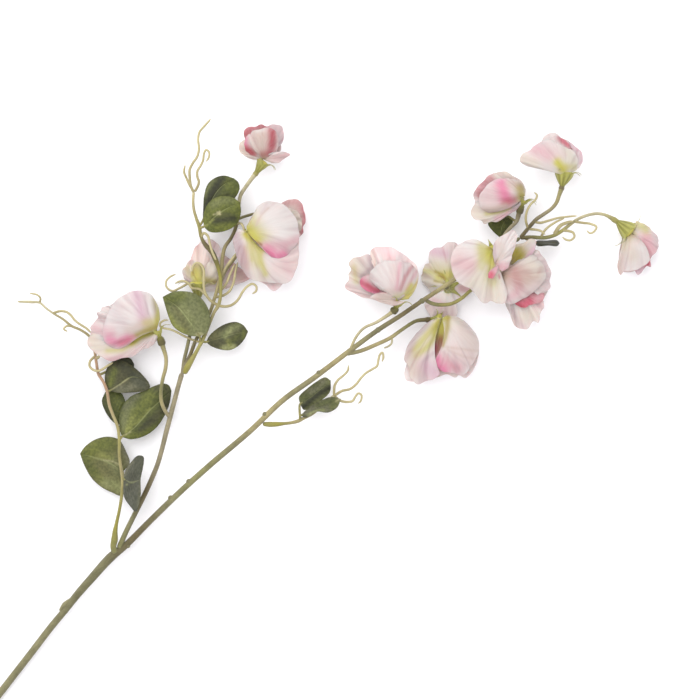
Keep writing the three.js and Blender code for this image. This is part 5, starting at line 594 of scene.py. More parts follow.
        ("lip", ("cream", 0.9, 7, 475, 212, 486, 219), ("green", 0.8, 2.2, 486, 214, 498, 213, 510, 209),
         ("pink", 0.75, 2.6, 496, 219, 504, 216, 514, 210), ("mauve", 0.6, 3, 514, 209, 528, 198)),
        ("*", ("pink", 0.3, 5, 483, 190, 487, 200))],
    bloom_12=[
        ("hood", ("cream", 0.8, 6, 521, 158, 534, 165), ("cream", 0.9, 6, 566, 152, 572, 164),
         ("pink", 0.75, 7, 535, 149, 548, 156), ("blush", 0.7, 6, 550, 146, 558, 156),
         ("yellow", 0.9, 3.4, 556, 164, 562, 170), ("green", 0.6, 3.6, 566, 168, 574, 168),
         ("yellow", 0.5, 4, 557, 162, 563, 168)),
        ("wing", ("rose", 0.9, 3.6, 559, 139, 564, 143, 570, 148), ("deep", 0.6, 2, 561, 141, 566, 145)),
        ("standard", ("lilac", 0.6, 3.6, 570, 145, 580, 152, 582, 162),
         ("white", 0.7, 5, 545, 138, 554, 136))],
    bloom_13=[
        ("front", ("beige", 0.7, 4, 623, 244, 620, 262, 619, 272), ("white", 0.7, 8, 632, 250, 636, 264),
         ("beige", 0.8, 6, 628, 236, 638, 236), ("green", 0.6, 4, 628, 236, 624, 246),
         ("cream", 0.6, 6, 628, 246, 632, 256), ("beige", 0.35, 6, 628, 246, 632, 256)),
        ("right", ("pink", 0.9, 7, 646, 238, 652, 250), ("rose", 0.5, 2.4, 643, 242, 648, 252, 651, 259),
         ("mauve", 0.5, 3, 652, 229, 658, 238, 658, 247), ("green", 0.8, 5, 638, 223, 646, 229)),
        ("standard", ("deep", 1.0, 3.4, 646, 264, 651, 262), ("lilac", 0.8, 4, 637, 271, 642, 270))])


# ---- colours, as seen on screen under the studio light --------------------------------------
LIGHT_LEVEL = 0.605  # share of a screen colour that a surface reflects, because the light is strong
WARMTH = np.array([1.01, 1.0, 0.985])
STEM_DEPTH = 0.92  # stems and cups are painted a little darker than their screen colours
PAINTED_CREASE_SHADE = np.array([0.27, 0.39, 0.35])  # painted shade: how much the deepest crease dims red, green and blue; the margin is dimmed half as much


def linear(rgb):
    """Scene colour of a screen colour."""
    return np.array([c / 12.92 if c <= 0.04045 else ((c + 0.055) / 1.055) ** 2.4 for c in rgb])


def palette(level, **colours):
    return {name: level * linear(rgb) for name, rgb in colours.items()}


TINTS = palette(
    LIGHT_LEVEL * WARMTH, white=(0.955, 0.938, 0.93), blush=(0.945, 0.868, 0.86), pink=(0.93, 0.745, 0.78),
    hot=(0.96, 0.58, 0.72), deep=(0.875, 0.45, 0.53), crimson=(0.74, 0.30, 0.34), rose=(0.80, 0.53, 0.56),
    lilac=(0.90, 0.77, 0.83), mauve=(0.83, 0.75, 0.77), beige=(0.875, 0.79, 0.75), cream=(0.945, 0.915, 0.86),
    green=(0.85, 0.83, 0.55), yellow=(0.87, 0.845, 0.39), olive=(0.72, 0.66, 0.26), brown=(0.68, 0.44, 0.34))
# calyx_light and calyx_dark are the lit and the shaded colour of a calyx, mixed as painted light
SHADES = palette(
    STEM_DEPTH * LIGHT_LEVEL, grey_olive=(0.57, 0.55, 0.40), green_olive=(0.58, 0.57, 0.37),
    dark_olive=(0.42, 0.39, 0.22), brown=(0.47, 0.42, 0.28), moss=(0.50, 0.485, 0.345),
    grey_brown=(0.64, 0.60, 0.48), straw=(0.72, 0.67, 0.48), pale_straw=(0.83, 0.79, 0.64),
    red_brown=(0.76, 0.62, 0.50), yellow_olive=(0.68, 0.65, 0.38), bright_olive=(0.64, 0.61, 0.26),
    tendril=(0.84, 0.79, 0.60), calyx_dark=(0.56, 0.55, 0.22), calyx_light=(0.83, 0.82, 0.44),
    sepal_tip=(0.80, 0.77, 0.52))
LEAF_SHADES = palette(
    LIGHT_LEVEL, olive=(0.43, 0.43, 0.25), moss=(0.43, 0.46, 0.18), green=(0.35, 0.38, 0.16),
    sage=(0.50, 0.52, 0.34), grey=(0.47, 0.47, 0.37), slate=(0.34, 0.35, 0.28), dark=(0.31, 0.31, 0.19),
    black=(0.21, 0.22, 0.13), lime=(0.57, 0.59, 0.30), pale=(0.62, 0.64, 0.42), straw=(0.74, 0.72, 0.54))


def shades(names):
    """Colours that follow each other along a tube."""
    return np.array([SHADES[name] for name in names.split()])


MAIN_STEM_SHADES = shades(
    "grey_olive grey_olive grey_olive grey_olive grey_olive moss moss brown grey_olive green_olive "
    "grey_olive straw grey_olive straw grey_olive brown straw brown grey_olive")
MAIN_BRANCH_SHADES = [shades(names) for names in (
    "grey_olive straw straw green_olive brown", "straw pale_straw pale_straw straw", "pale_straw pale_straw",
    "grey_olive yellow_olive yellow_olive straw", "brown dark_olive", "green_olive yellow_olive",
    "straw grey_brown grey_brown brown", "brown brown grey_brown straw green_olive",
    "brown green_olive yellow_olive pale_straw pale_straw yellow_olive")]
SIDE_STEM_SHADES = shades("green_olive grey_olive brown grey_brown grey_brown grey_brown grey_brown")
SIDE_BRANCH_SHADES = [shades(names) for names in (
    "grey_brown grey_olive green_olive yellow_olive",
    "grey_brown brown grey_olive straw straw straw brown straw pale_straw pale_straw",
    "grey_brown straw green_olive straw straw green_olive", "grey_olive straw straw yellow_olive",
    "green_olive brown yellow_olive")]
TWIG_SHADES = dict(
    twig_a=shades("green_olive bright_olive yellow_olive straw yellow_olive straw red_brown red_brown straw "
                  "straw pale_straw pale_straw"),
    twig_b=shades("bright_olive yellow_olive yellow_olive green_olive straw yellow_olive bright_olive "
                  "dark_olive brown yellow_olive straw tendril"),
    twig_c=shades("yellow_olive bright_olive straw straw yellow_olive pale_straw"))
TENDRIL_SHADES = shades("straw tendril tendril")
LEAF_STALK_SHADES = shades("green_olive yellow_olive")


# ---- curves ---------------------------------------------------------------------------------
def at(point):
    """A grid point in mm."""
    return np.array([(point[0] - GRID_MIDDLE[0]) * GRID_MM, (GRID_MIDDLE[1] - point[1]) * GRID_MM, point[2]])


def grid_of(points):
    """Grid places, across and down, of points in mm."""
    return points[:, 0] / GRID_MM + GRID_MIDDLE[0], GRID_MIDDLE[1] - points[:, 1] / GRID_MM


class Curve:
    """A centripetal Catmull-Rom curve through points in mm."""

    DIVISIONS = 200

    def __init__(self, points):
        self.points = np.array(points, float)
        self.steps = np.linspace(0, 1, self.DIVISIONS + 1)
        hops = np.linalg.norm(np.diff(self.point(self.steps), axis=0), axis=1)
        self.lengths = np.concatenate([[0], np.cumsum(hops)])

    def point(self, t):
        p, last = self.points, len(self.points) - 1
        place = np.clip(np.atleast_1d(t), 0, 1) * last
        i = np.minimum(place.astype(int), last - 1)
        w = (place - i)[:, None]
        start, end = p[i], p[i + 1]
        before = np.where((i > 0)[:, None], p[np.maximum(i - 1, 0)], 2 * p[0] - p[1])
        after = np.where((i + 2 <= last)[:, None], p[np.minimum(i + 2, last)], 2 * p[last] - p[last - 1])
        g0, g1, g2 = [np.maximum(np.sum((b - a) ** 2, axis=1, keepdims=True) ** 0.25, 1e-6)
                      for a, b in ((before, start), (start, end), (end, after))]
        leave = g1 * ((start - before) / g0 - (end - before) / (g0 + g1) + (end - start) / g1)
        reach = g1 * ((end - start) / g1 - (after - start) / (g1 + g2) + (after - end) / g2)
        return (start + leave * w + (3 * (end - start) - 2 * leave - reach) * w ** 2
                + (2 * (start - end) + leave + reach) * w ** 3)

    def share(self, u):
        """Parameter at an even share u of the length."""
        return np.interp(np.atleast_1d(u) * self.lengths[-1], self.lengths, self.steps)

    def even(self, u):
        return self.point(self.share(u))


def smooth(x, low, high):
    """0 below low, 1 above high, and a soft step between."""
    t = np.clip((x - low) / (high - low), 0, 1)
    return t * t * (3 - 2 * t)


def ripple(rng, waves, u):
    """A smooth seeded wave along u, about -1 to 1, with the given wave counts."""
    total = sum(np.sin(2 * np.pi * (count * u + rng.random())) * (0.6 + 0.8 * rng.random())
                for count in waves)
    return total / math.sqrt(len(waves))


# ---- meshes ---------------------------------------------------------------------------------
class Soup:
    """Vertices in mm, faces, colours, texture places and border marks, gathered into one mesh."""

    def __init__(self):
        self.verts, self.faces, self.tones, self.coords, self.rims = [], [], [], [], []
        self.count = 0

    def add(self, verts, faces, tone, coord=None, rim=None, caps=None):
        n = len(verts)
        self.verts.append(verts)
        self.faces.append(np.asarray(faces) + self.count)
        if caps is not None:
            self.faces.append(np.asarray(caps) + self.count)
        self.tones.append(np.broadcast_to(tone, (n, 3)))
        self.coords.append(np.zeros((n, 2)) if coord is None else coord)
        self.rims.append(np.zeros(n, int) if rim is None else rim)
        self.count += n

    def mesh(self, node, material, slot):
        """The piece that stands for a CAD node, in metres."""
        name = "fine_" + node
        data = bpy.data.meshes.new(name)
        faces = [tuple(f) for block in self.faces for f in block.tolist()]
        data.from_pydata((np.concatenate(self.verts) * MM).tolist(), [], faces)
        data.validate()
        data.polygons.foreach_set("use_smooth", np.ones(len(data.polygons), bool))
        ends = np.empty(2 * len(data.edges), int)
        data.edges.foreach_get("vertices", ends)
        ends = np.concatenate(self.rims)[ends.reshape(-1, 2)]
        sharp = data.attributes.new("sharp_edge", "BOOLEAN", "EDGE")
        sharp.data.foreach_set("value", (ends[:, 0] == ends[:, 1]) & (ends[:, 0] > 0))
        colour = data.color_attributes.new("tone", "FLOAT_COLOR", "POINT")
        tones = np.column_stack([np.concatenate(self.tones), np.ones(self.count)])
        colour.data.foreach_set("color", tones.ravel())
        layer = data.uv_layers.new(name="lay")
        corners = np.empty(len(data.loops), int)
        data.loops.foreach_get("vertex_index", corners)
        layer.data.foreach_set("uv", np.concatenate(self.coords)[corners].ravel())
        data.materials.append(material)
        obj = bpy.data.objects.new(name, data)
        bpy.context.scene.collection.objects.link(obj)
        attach(obj, "root")
        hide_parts(node)


def neighbours(sides):
    return [(a, (a + 1) % sides) for a in range(sides)]


def ring_quads(rings, sides):
    """Quads between rings of points."""
    return np.array([(k * sides + a, k * sides + b, (k + 1) * sides + b, (k + 1) * sides + a)
                     for k in range(rings) for a, b in neighbours(sides)])


TURNED = [0, 3, 2, 1]  # corner order that turns a quad over


def sheet(grid, thickness):
    """Closed sheet round grid[row, column] of points in mm; thickness may vary over the grid."""
    normal = np.cross(np.gradient(grid, axis=1), np.gradient(grid, axis=0))
    length = np.linalg.norm(normal, axis=2, keepdims=True)
    normal = np.where(length > 1e-9, normal / np.maximum(length, 1e-9), [0, 0, 1.0])
    half = 0.5 * np.broadcast_to(np.asarray(thickness), grid.shape[:2])[..., None]
    verts = np.concatenate([(grid + normal * half).reshape(-1, 3), (grid - normal * half).reshape(-1, 3)])
    rows, cols = grid.shape[0] - 1, grid.shape[1] - 1
    wide, under = cols + 1, (cols + 1) * (rows + 1)
    faces = []
    for a in (j * wide + i for j in range(rows) for i in range(cols)):
        faces.append((a, a + 1, a + wide + 1, a + wide))
        faces.append((under + a, under + a + wide, under + a + wide + 1, under + a + 1))
    border = ([*range(cols)] + [j * wide + cols for j in range(rows)]
              + [rows * wide + i for i in range(cols, 0, -1)] + [j * wide for j in range(rows, 0, -1)])
    faces += [(a, under + a, under + b, b) for a, b in zip(border, border[1:] + border[:1])]
    if np.mean(normal[..., 2]) < 0:
        faces = [tuple(reversed(f)) for f in faces]
    return verts, faces


def rim_marks(rows, cols):
    """1 on the border of a closed sheet's upper grid, 2 on that of its lower grid, else 0."""
    border = np.ones((rows + 1, cols + 1), int)
    border[1:-1, 1:-1] = 0
    return np.concatenate([border.ravel(), 2 * border.ravel()])


def add_sheet(soup, grid, thickness, tone, coord):
    """A closed sheet with one colour and one texture place for each point of its grid."""
    verts, faces = sheet(grid, thickness)
    coord = np.stack(np.broadcast_arrays(*coord), axis=2).reshape(-1, 2)
    soup.add(verts, faces, np.concatenate([tone, tone]), np.concatenate([coord, coord]),
             rim_marks(grid.shape[0] - 1, grid.shape[1] - 1))


END_STEPS = np.array([0.0, 0.06, 0.2, 0.45, 0.75, 1.0])  # rings of a rounded end, as shares of its length
RIBS, RIB_SHARE = 5, 0.03  # lengthwise ribs of a stem, and their height as a share of the radius
TIP_MM = 2.5  # a tendril comes to a point over this length
END_SHARE = 0.3  # a rounded end takes up at most this share of the length
# Sides, and rings a mm, of each kind of tube.
MAIN_MESH, SIDE_MESH, BRANCH_MESH, TWIG_MESH = (32, 1.1), (24, 1.1), (18, 1.6), (18, 1.8)
SCAR_MESH, TENDRIL_MESH, COLLAR_MESH, LEAF_STALK_MESH = (14, 2.0), (12, 2.0), (24, 3.0), (10, 1.1)
TUBE_PAINTED_LIGHT = 0.16  # painted light: how much paler a tube's sunny side is painted than its flanks; its far side is painted as much darker
SUNNY_SIDE = np.array([-0.52, 0.62, 0.59])
LAY_PER_MM = 0.1  # texture places along stems and cups


def tube(soup, route, radii, sides, steps_per_mm, tone, ribs=0.0, tip=False):
    """A tapering tube with rounded ends, its rings square to the route, with painted light on its sunny side.
    """
    curve = Curve([at(p) for p in route])
    length = curve.lengths[-1]
    near_end = END_STEPS * min(radii[0], END_SHARE * length) / length
    middle = np.linspace(near_end[-1], 1 - near_end[-1], max(6, int(length * steps_per_mm)))[1:-1]
    share = np.concatenate([near_end, middle, 1 - near_end[::-1]])
    t = curve.share(share)
    centres = curve.point(t)
    radius = np.interp(t * (len(radii) - 1), range(len(radii)), radii)
    from_end = np.minimum(share, 1 - share) / near_end[-1]
    radius = radius * np.sqrt(np.clip(1 - (1 - np.clip(from_end, 0, 1)) ** 2, 0.02, 1))
    if tip:
        radius = radius * np.clip((1 - share) * length / TIP_MM, 0, 1) ** 0.4
    tangents = np.gradient(centres, axis=0)
    tangents /= np.linalg.norm(tangents, axis=1, keepdims=True)
    side = np.cross(tangents[0], [0.0, 0.0, 1.0])
    side = side / np.linalg.norm(side) if np.linalg.norm(side) > 1e-6 else np.array([1.0, 0, 0])
    angles = np.linspace(0, 2 * np.pi, sides, endpoint=False)
    verts, coords, painted_light = [], [], []
    for k, place in enumerate(share * length):
        side = side - tangents[k] * np.dot(side, tangents[k])
        side /= np.linalg.norm(side)
        outward = np.cos(angles)[:, None] * side + np.sin(angles)[:, None] * np.cross(tangents[k], side)
        swell = 1 + ribs * np.cos(RIBS * angles + 0.02 * place)
        verts.append(centres[k] + radius[k] * swell[:, None] * outward)
        # painted light and shade: each ring is painted paler where it faces the sunny side and darker
        # opposite
        painted_light.append(1 + TUBE_PAINTED_LIGHT * outward @ SUNNY_SIDE)
        coords.append(np.column_stack([angles / (2 * np.pi), np.full(sides, place * LAY_PER_MM)]))
    verts = np.concatenate(verts + [centres[:1], centres[-1:]])
    coords = np.concatenate(coords + [coords[0][:1], coords[-1][:1]])
    tones = np.column_stack([np.interp(share, np.linspace(0, 1, len(tone)), tone[:, k]) for k in range(3)])
    skin = np.repeat(tones, sides, axis=0) * np.concatenate(painted_light)[:, None]
    start, end, last = len(verts) - 2, len(verts) - 1, (len(share) - 1) * sides
    around = neighbours(sides)
    caps = [(a, start, b) for a, b in around] + [(last + a, last + b, end) for a, b in around]
    soup.add(verts, ring_quads(len(share) - 1, sides), np.concatenate([skin, tones[:1], tones[-1:]]), coords,
             caps=caps)


def knob(soup, centre, radius, tone, rings=8, sides=14):
    """A small smooth swelling round a point in mm."""
    verts = [[centre[0] + radius * math.sin(phi) * math.cos(theta),
              centre[1] + radius * math.sin(phi) * math.sin(theta), centre[2] + radius * math.cos(phi)]
             for phi in (math.pi * j / rings for j in range(rings + 1))
             for theta in (2 * math.pi * i / sides for i in range(sides))]
    soup.add(np.array(verts), ring_quads(rings, sides)[:, TURNED], tone)


# ---- materials ------------------------------------------------------------------------------
def new_material(name, roughness, specular, **sockets):
    material = bpy.data.materials.new(name)
    material.use_nodes = True
    shader = material.node_tree.nodes["Principled BSDF"]
    sockets.update(Roughness=roughness, Specular_IOR_Level=specular)
    for key, value in sockets.items():
        shader.inputs[key.replace("_", " ")].default_value = value
    return material, material.node_tree, shader


def feed(tree, socket, value):
    """Links a node's output to a socket, or sets a value on it."""
    if hasattr(value, "links"):
        tree.links.new(value, socket)
    else:
        socket.default_value = value


def node(tree, kind, *values, **settings):
    """A node with values for its first sockets, and settings or named sockets."""
    made = tree.nodes.new(kind)
    for key, value in settings.items():
        if key in made.inputs:
            feed(tree, made.inputs[key], value)
        else:
            setattr(made, key, value)
    for socket, value in zip(made.inputs, values):
        feed(tree, socket, value)
    return made


def calc(tree, operation, *values):
    return node(tree, "ShaderNodeMath", *values, operation=operation).outputs[0]


def fading(tree, source, low, high):
    """1 up to low, falling to 0 at high."""
    return node(tree, "ShaderNodeMapRange", source, low, high, 1.0, 0.0).outputs[0]


def noise(tree, vector, scale, detail, stretch=None):
    """Noise; a stretch draws its grain out along one axis."""
    if stretch:
        vector = node(tree, "ShaderNodeMapping", vector, Scale=stretch).outputs["Vector"]
    return node(tree, "ShaderNodeTexNoise", vector, Scale=scale, Detail=detail).outputs["Fac"]


def ramp(tree, source, *stops):
    made = node(tree, "ShaderNodeValToRGB", source)
    for element, (place, colour) in zip(made.color_ramp.elements, stops):
        element.position = place
        element.color = (*colour, 1)
    return made.outputs["Color"]


def mixed(tree, kind, factor, first, second):
    made = node(tree, "ShaderNodeMix", factor, data_type="RGBA", blend_type=kind)
    feed(tree, made.inputs[6], first)
    feed(tree, made.inputs[7], second)
    return made.outputs[2]


def bump(tree, shader, height, strength, distance):
    made = node(tree, "ShaderNodeBump", Strength=strength, Distance=distance, Height=height)
    feed(tree, shader.inputs["Normal"], made.outputs["Normal"])


def mesh_data(tree):
    """The painted colour, the texture place and the place in the object."""
    return (node(tree, "ShaderNodeAttribute", attribute_name="tone").outputs["Color"],
            node(tree, "ShaderNodeUVMap", uv_map="lay").outputs["UV"],
            node(tree, "ShaderNodeTexCoord").outputs["Object"])


def petal_material():
    """Thin satin: soft streaks along the pleats and a fine fibre."""
    material, tree, shader = new_material(
        "petal_satin", roughness=0.55, specular=0.25, Subsurface_Weight=0.45,
        Subsurface_Radius=(1.0, 0.6, 0.6), Subsurface_Scale=0.0010, Sheen_Weight=0.12, Sheen_Roughness=0.4)
    tone, lay, _ = mesh_data(tree)
    streak = noise(tree, lay, scale=3.0, detail=3.0, stretch=(6.0, 0.7, 1.0))
    fibre = noise(tree, lay, scale=40.0, detail=2.0, stretch=(5.0, 1.0, 1.0))
    shade = ramp(tree, streak, (0.36, (0.965, 0.945, 0.95)), (0.60, (1.0, 1.0, 1.0)))
    feed(tree, shader.inputs["Base Color"], mixed(tree, "MULTIPLY", 0.8, tone, shade))
    bump(tree, shader, calc(tree, "MULTIPLY_ADD", fibre, 0.2, streak), strength=0.28, distance=0.0005)
    return material


def leaf_material():
    """Grey green blade: lay.x runs across from -1 to 1, lay.y from base to tip."""
    material, tree, shader = new_material("leaf_blade", roughness=0.6, specular=0.3, Sheen_Weight=0.1)
    tone, lay, place = mesh_data(tree)
    split = node(tree, "ShaderNodeSeparateXYZ", lay)
    out = calc(tree, "ABSOLUTE", split.outputs["X"])
    # side veins leave the midrib at even steps, sweep forwards and wander a little
    swept = calc(tree, "MULTIPLY_ADD", out, -0.42, split.outputs["Y"])
    swept = calc(tree, "MULTIPLY_ADD", noise(tree, lay, scale=3.0, detail=2.0), 0.22, swept)
    swing = calc(tree, "PINGPONG", calc(tree, "MULTIPLY", swept, 7.0), 0.5)
    side_veins = calc(tree, "MULTIPLY", fading(tree, swing, 0.0, 0.13), 0.08)
    vein = calc(tree, "MAXIMUM", fading(tree, out, 0.02, 0.06), side_veins)
    mottle = noise(tree, place, scale=620.0, detail=3.0)
    broad = noise(tree, place, scale=70.0, detail=2.0)
    spots = ramp(tree, mottle, (0.36, (0.70, 0.71, 0.66)), (0.64, (1.26, 1.22, 1.26)))
    clouds = ramp(tree, broad, (0.36, (0.80, 0.82, 0.74)), (0.64, (1.12, 1.10, 1.14)))
    colour = mixed(tree, "MULTIPLY", 0.85, mixed(tree, "MULTIPLY", 0.85, tone, spots), clouds)
    pale = calc(tree, "MULTIPLY", vein, 0.26)
    colour = mixed(tree, "MIX", pale, colour, (*linear((0.60, 0.62, 0.42)), 1))
    feed(tree, shader.inputs["Base Color"], colour)
    bump(tree, shader, calc(tree, "MULTIPLY_ADD", vein, -1.0, mottle), strength=0.35, distance=0.0004)
    return material


def stem_material(name, roughness, contrast):
    """Dull skin with fine lengthwise streaks, cloudy patches and a short nap."""
    material, tree, shader = new_material(
        name, roughness, specular=0.25, Sheen_Weight=0.15, Sheen_Roughness=0.6)
    skin, lay, place = mesh_data(tree)
    streak = noise(tree, lay, scale=3.0, detail=3.0, stretch=(5.0, 1.0, 1.0))
    patch = noise(tree, place, scale=120.0, detail=2.0)
    nap = noise(tree, place, scale=1500.0, detail=2.0)
    low, high = 1 - contrast, 1 + 0.7 * contrast
    for source, share in ((streak, 0.6), (patch, 1.0), (nap, 0.7)):
        grey = ramp(tree, source, (0.34, (low, low, low * 0.97)), (0.64, (high, high, high)))
        skin = mixed(tree, "MULTIPLY", share, skin, grey)
    feed(tree, shader.inputs["Base Color"], skin)
    bump(tree, shader, calc(tree, "MULTIPLY_ADD", nap, 0.5, streak), strength=0.3, distance=0.0004)
    return material


# ---- petals ---------------------------------------------------------------------------------
PETAL_MM = 0.36  # thickness
HOOD_CELLS, PETAL_CELLS, SMALL_CELLS = (110, 38), (84, 28), (48, 22)  # along the margin, and out to it
FIRST_ROW = 0.028  # the row next to the claw, as a share of the way out
ARCH_SKEW = 0.75  # below 1, a petal stands highest nearer its claw
DOME_POWER = 0.72  # below 1, a hood's top is flatter and its sides are steeper
SIDE_RISE = 0.3  # how high a petal stands at its sides, as a share of its middle
ROLL_MM, ROLL_START = 1.1, 0.82  # how far a hood's margin turns down, and from where
FLAT_ROLL = 0.35  # share of that turn on other petals
FRILL_MM, FRILL_WAVES = 0.8, 4
HOOD_FRILL = 0.3  # share of the frill on a hood
FOLD_MM = 0.45  # broad waves
SIDE_FADE = 0.06  # relief fades out over this share of the width at each side
CREASE_MM = (0.10, 0.34)  # shallowest and deepest crease
CREASE_GAP_MM = 5.5  # along the margin
PLEAT_MM = 0.05
SCALLOP_MM = 0.22
LAY_MM = 30  # length of margin that one texture place spans
STROKE_FALL, STROKE_POWER = 0.8, 2.2  # how a stroke of colour fades out past its half width
BLUSH = 0.28  # faint pink over the white of every petal
THROAT, THROAT_ENDS = 0.7, (0.08, 0.30)  # green at the claw, and where it fades out
BACK_PETAL_PAINTED_LIGHT = 1.32  # painted light: petals behind others are painted paler, so they don't look grey in the shade that falls on them
BACK_PETALS = ("standard", "back", "cup")  # those petals, and where a bloom has others
OTHER_BACK_PETALS = dict(bloom_02=(), bloom_04=("back",), bloom_05=("standard", "back"),
                         bloom_07=("bottom", "right", "cup"), bloom_11=(), bloom_12=(), bloom_13=())


def creases(rng, u, out, count, reach):
    """Ridge and valley pairs that run outwards from the middle of a petal and bend a little on the way."""
    relief = np.zeros(np.broadcast(u, out).shape)
    for k in range(count):  # each with its own place, drift, width, depth, start and side
        place = (k + 0.15 + 0.7 * rng.random()) / count
        drift, wide = 0.10 * (rng.random() - 0.5), (0.8 + 1.6 * rng.random()) / reach
        deep = CREASE_MM[0] + (CREASE_MM[1] - CREASE_MM[0]) * rng.random() ** 1.5
        start = 0.15 + 0.45 * rng.random()
        turn = 1 if rng.random() < 0.5 else -1
        x = turn * (u - place - drift * (out - start) ** 2) / wide
        relief = relief + deep * smooth(out, start, start + 0.4) * x * np.exp(0.5 - 0.5 * x ** 2)
    return relief


def petal_grid(bloom, petal, rng):
    """Points of a petal, rows from the claw to the margin, and their u, out, pleats and relief."""
    hood = petal["part"] == "hood"
    cols, rows = HOOD_CELLS if hood else SMALL_CELLS if petal.get("small") else PETAL_CELLS

    def lift(p):
        return at([p[0], p[1], bloom["height"] + p[2]])

    claw = lift(petal.get("claw", (*bloom["claw"], 0)))
    rim = Curve([lift(p) for p in petal["rim"]])
    bends = [lift(through) - (claw + end) / 2 if through else np.zeros(3)
             for through, end in zip(petal.get("sides", (None, None)), (rim.points[0], rim.points[-1]))]
    u = np.linspace(0, 1, cols + 1)[None, :, None]
    # rows are closer together near the margin
    out = FIRST_ROW + (1 - FIRST_ROW) * (np.linspace(0, 1, rows + 1) ** 0.8)[:, None, None]
    margin, length = rim.even(u.ravel())[None], rim.lengths[-1]
    folds = ripple(rng, (1.3, 2.1, 3.2), u)
    relief = creases(rng, u, out, max(3, round(length / CREASE_GAP_MM)), length)
    pleats = ripple(rng, (11, 17, 23), u + 0.02 * ripple(rng, (2, 3), out))
    notch = SCALLOP_MM * ripple(rng, (2.3, 4.1, 7), u) * out ** 6 + 0.5 * relief * out ** 12
    direction = (margin - claw) / np.linalg.norm(margin - claw, axis=2, keepdims=True)
    grid = claw + (margin - claw) * out + direction * notch
    sag = 4 * out * (1 - out)
    grid = grid + bends[0] * sag * (1 - u) ** 2 + bends[1] * sag * u ** 2
    arch, across = np.sin(np.pi * out ** ARCH_SKEW), np.sin(np.pi * u)
    if hood:
        arch, across = arch ** DOME_POWER, across ** DOME_POWER
    rise = petal["belly"] * arch * (SIDE_RISE + (1 - SIDE_RISE) * across)
    frill = petal.get("frill", FRILL_MM)
    rise = rise + frill * out ** 4 * np.sin(2 * np.pi * FRILL_WAVES * u) * (HOOD_FRILL if hood else 1)
    inside = smooth(u, 0, SIDE_FADE) * smooth(1 - u, 0, SIDE_FADE)
    rise = rise + (PLEAT_MM * pleats * out + FOLD_MM * folds * out ** 1.5 + relief) * inside
    rise = rise - (ROLL_MM if hood else FLAT_ROLL * ROLL_MM) * smooth(out, ROLL_START, 1.0) ** 2
    return grid + rise * np.array([0, 0, 1.0]), u[0, :, 0], out[:, 0, 0], pleats, relief


def paint(tone, colour, amount):
    """Tone with a colour laid over it by an amount from 0 to 1."""
    a = np.clip(amount, 0, 1)[:, None]
    return tone * (1 - a) + colour * a


def paint_strokes(tone, grid, strokes, colours, fine=1.0):
    """Tone with strokes laid over it: each has a colour, a strength, a half width and grid places."""
    across, down = grid_of(grid.reshape(-1, 3))
    for colour, amount, wide, *places in strokes:
        points = list(zip(places[::2], places[1::2]))
        nearest = np.full(across.shape, 1e9)
        for (x0, y0), (x1, y1) in zip(points, points[1:]):
            dx, dy = x1 - x0, y1 - y0
            along = np.clip(((across - x0) * dx + (down - y0) * dy) / (dx * dx + dy * dy), 0, 1)
            nearest = np.minimum(nearest, np.hypot(across - x0 - along * dx, down - y0 - along * dy))
        cover = amount * np.exp(-STROKE_FALL * (nearest / wide) ** STROKE_POWER)
        tone = paint(tone, colours[colour], cover * fine)
    return tone


def petal_tone(bloom, petal, grid, u, out, pleats, relief, rng):
    """Colour of each point: white with strokes of pink and green, finely streaked along the pleats, with
    painted shade in the creases and petals behind others painted paler as painted light.
    """
    u, out, pleats, relief = [values.ravel() for values in np.broadcast_arrays(
        u[None, :], out[:, None], pleats[..., 0], relief[..., 0])]
    streak = ripple(rng, (13, 21, 34), u + 0.015 * ripple(rng, (2, 3), out)) * smooth(out, 0.1, 0.5)
    tone = np.tile(TINTS["white"], (len(u), 1))
    tone = paint(tone, TINTS["blush"], BLUSH + 0.08 * pleats + 0.07 * streak)
    tone = paint(tone, TINTS["green"], THROAT * (1 - smooth(out, *THROAT_ENDS)))
    for part, *strokes in STROKES[bloom["name"]]:
        if part in ("*", petal["part"]):
            tone = paint_strokes(tone, grid, strokes, TINTS, 1 + 0.08 * streak - 0.04 * pleats)
    # painted light: petals behind others are painted paler against the shade on them
    if petal["part"] in OTHER_BACK_PETALS.get(bloom["name"], BACK_PETALS):
        tone = tone * BACK_PETAL_PAINTED_LIGHT
    # painted shade: each crease is dimmed by its depth, and the last strip of the margin is dimmed as well
    crease = 0.5 * np.clip(-relief / CREASE_MM[1], 0, 1) + 0.25 * smooth(out, 0.975, 1.0)
    return tone * (1 - crease[:, None] * PAINTED_CREASE_SHADE)


def build_petals(bloom, material, rng):
    soup = Soup()
    for petal in bloom["petals"]:
        grid, u, out, pleats, relief = petal_grid(bloom, petal, rng)
        tone = petal_tone(bloom, petal, grid, u, out, pleats, relief, rng)
        length = np.linalg.norm(np.diff(grid[-1], axis=0), axis=1).sum()
        reach = np.linalg.norm(grid[-1, len(u) // 2] - grid[0, len(u) // 2])
        add_sheet(soup, grid, PETAL_MM * (1 - 0.45 * smooth(out, 0.8, 1.0))[:, None], tone,
                  (u[None, :] * length / LAY_MM + rng.random() * 9, out[:, None] * reach / LAY_MM))
    soup.mesh(bloom["name"] + "_petals", material, "petal")


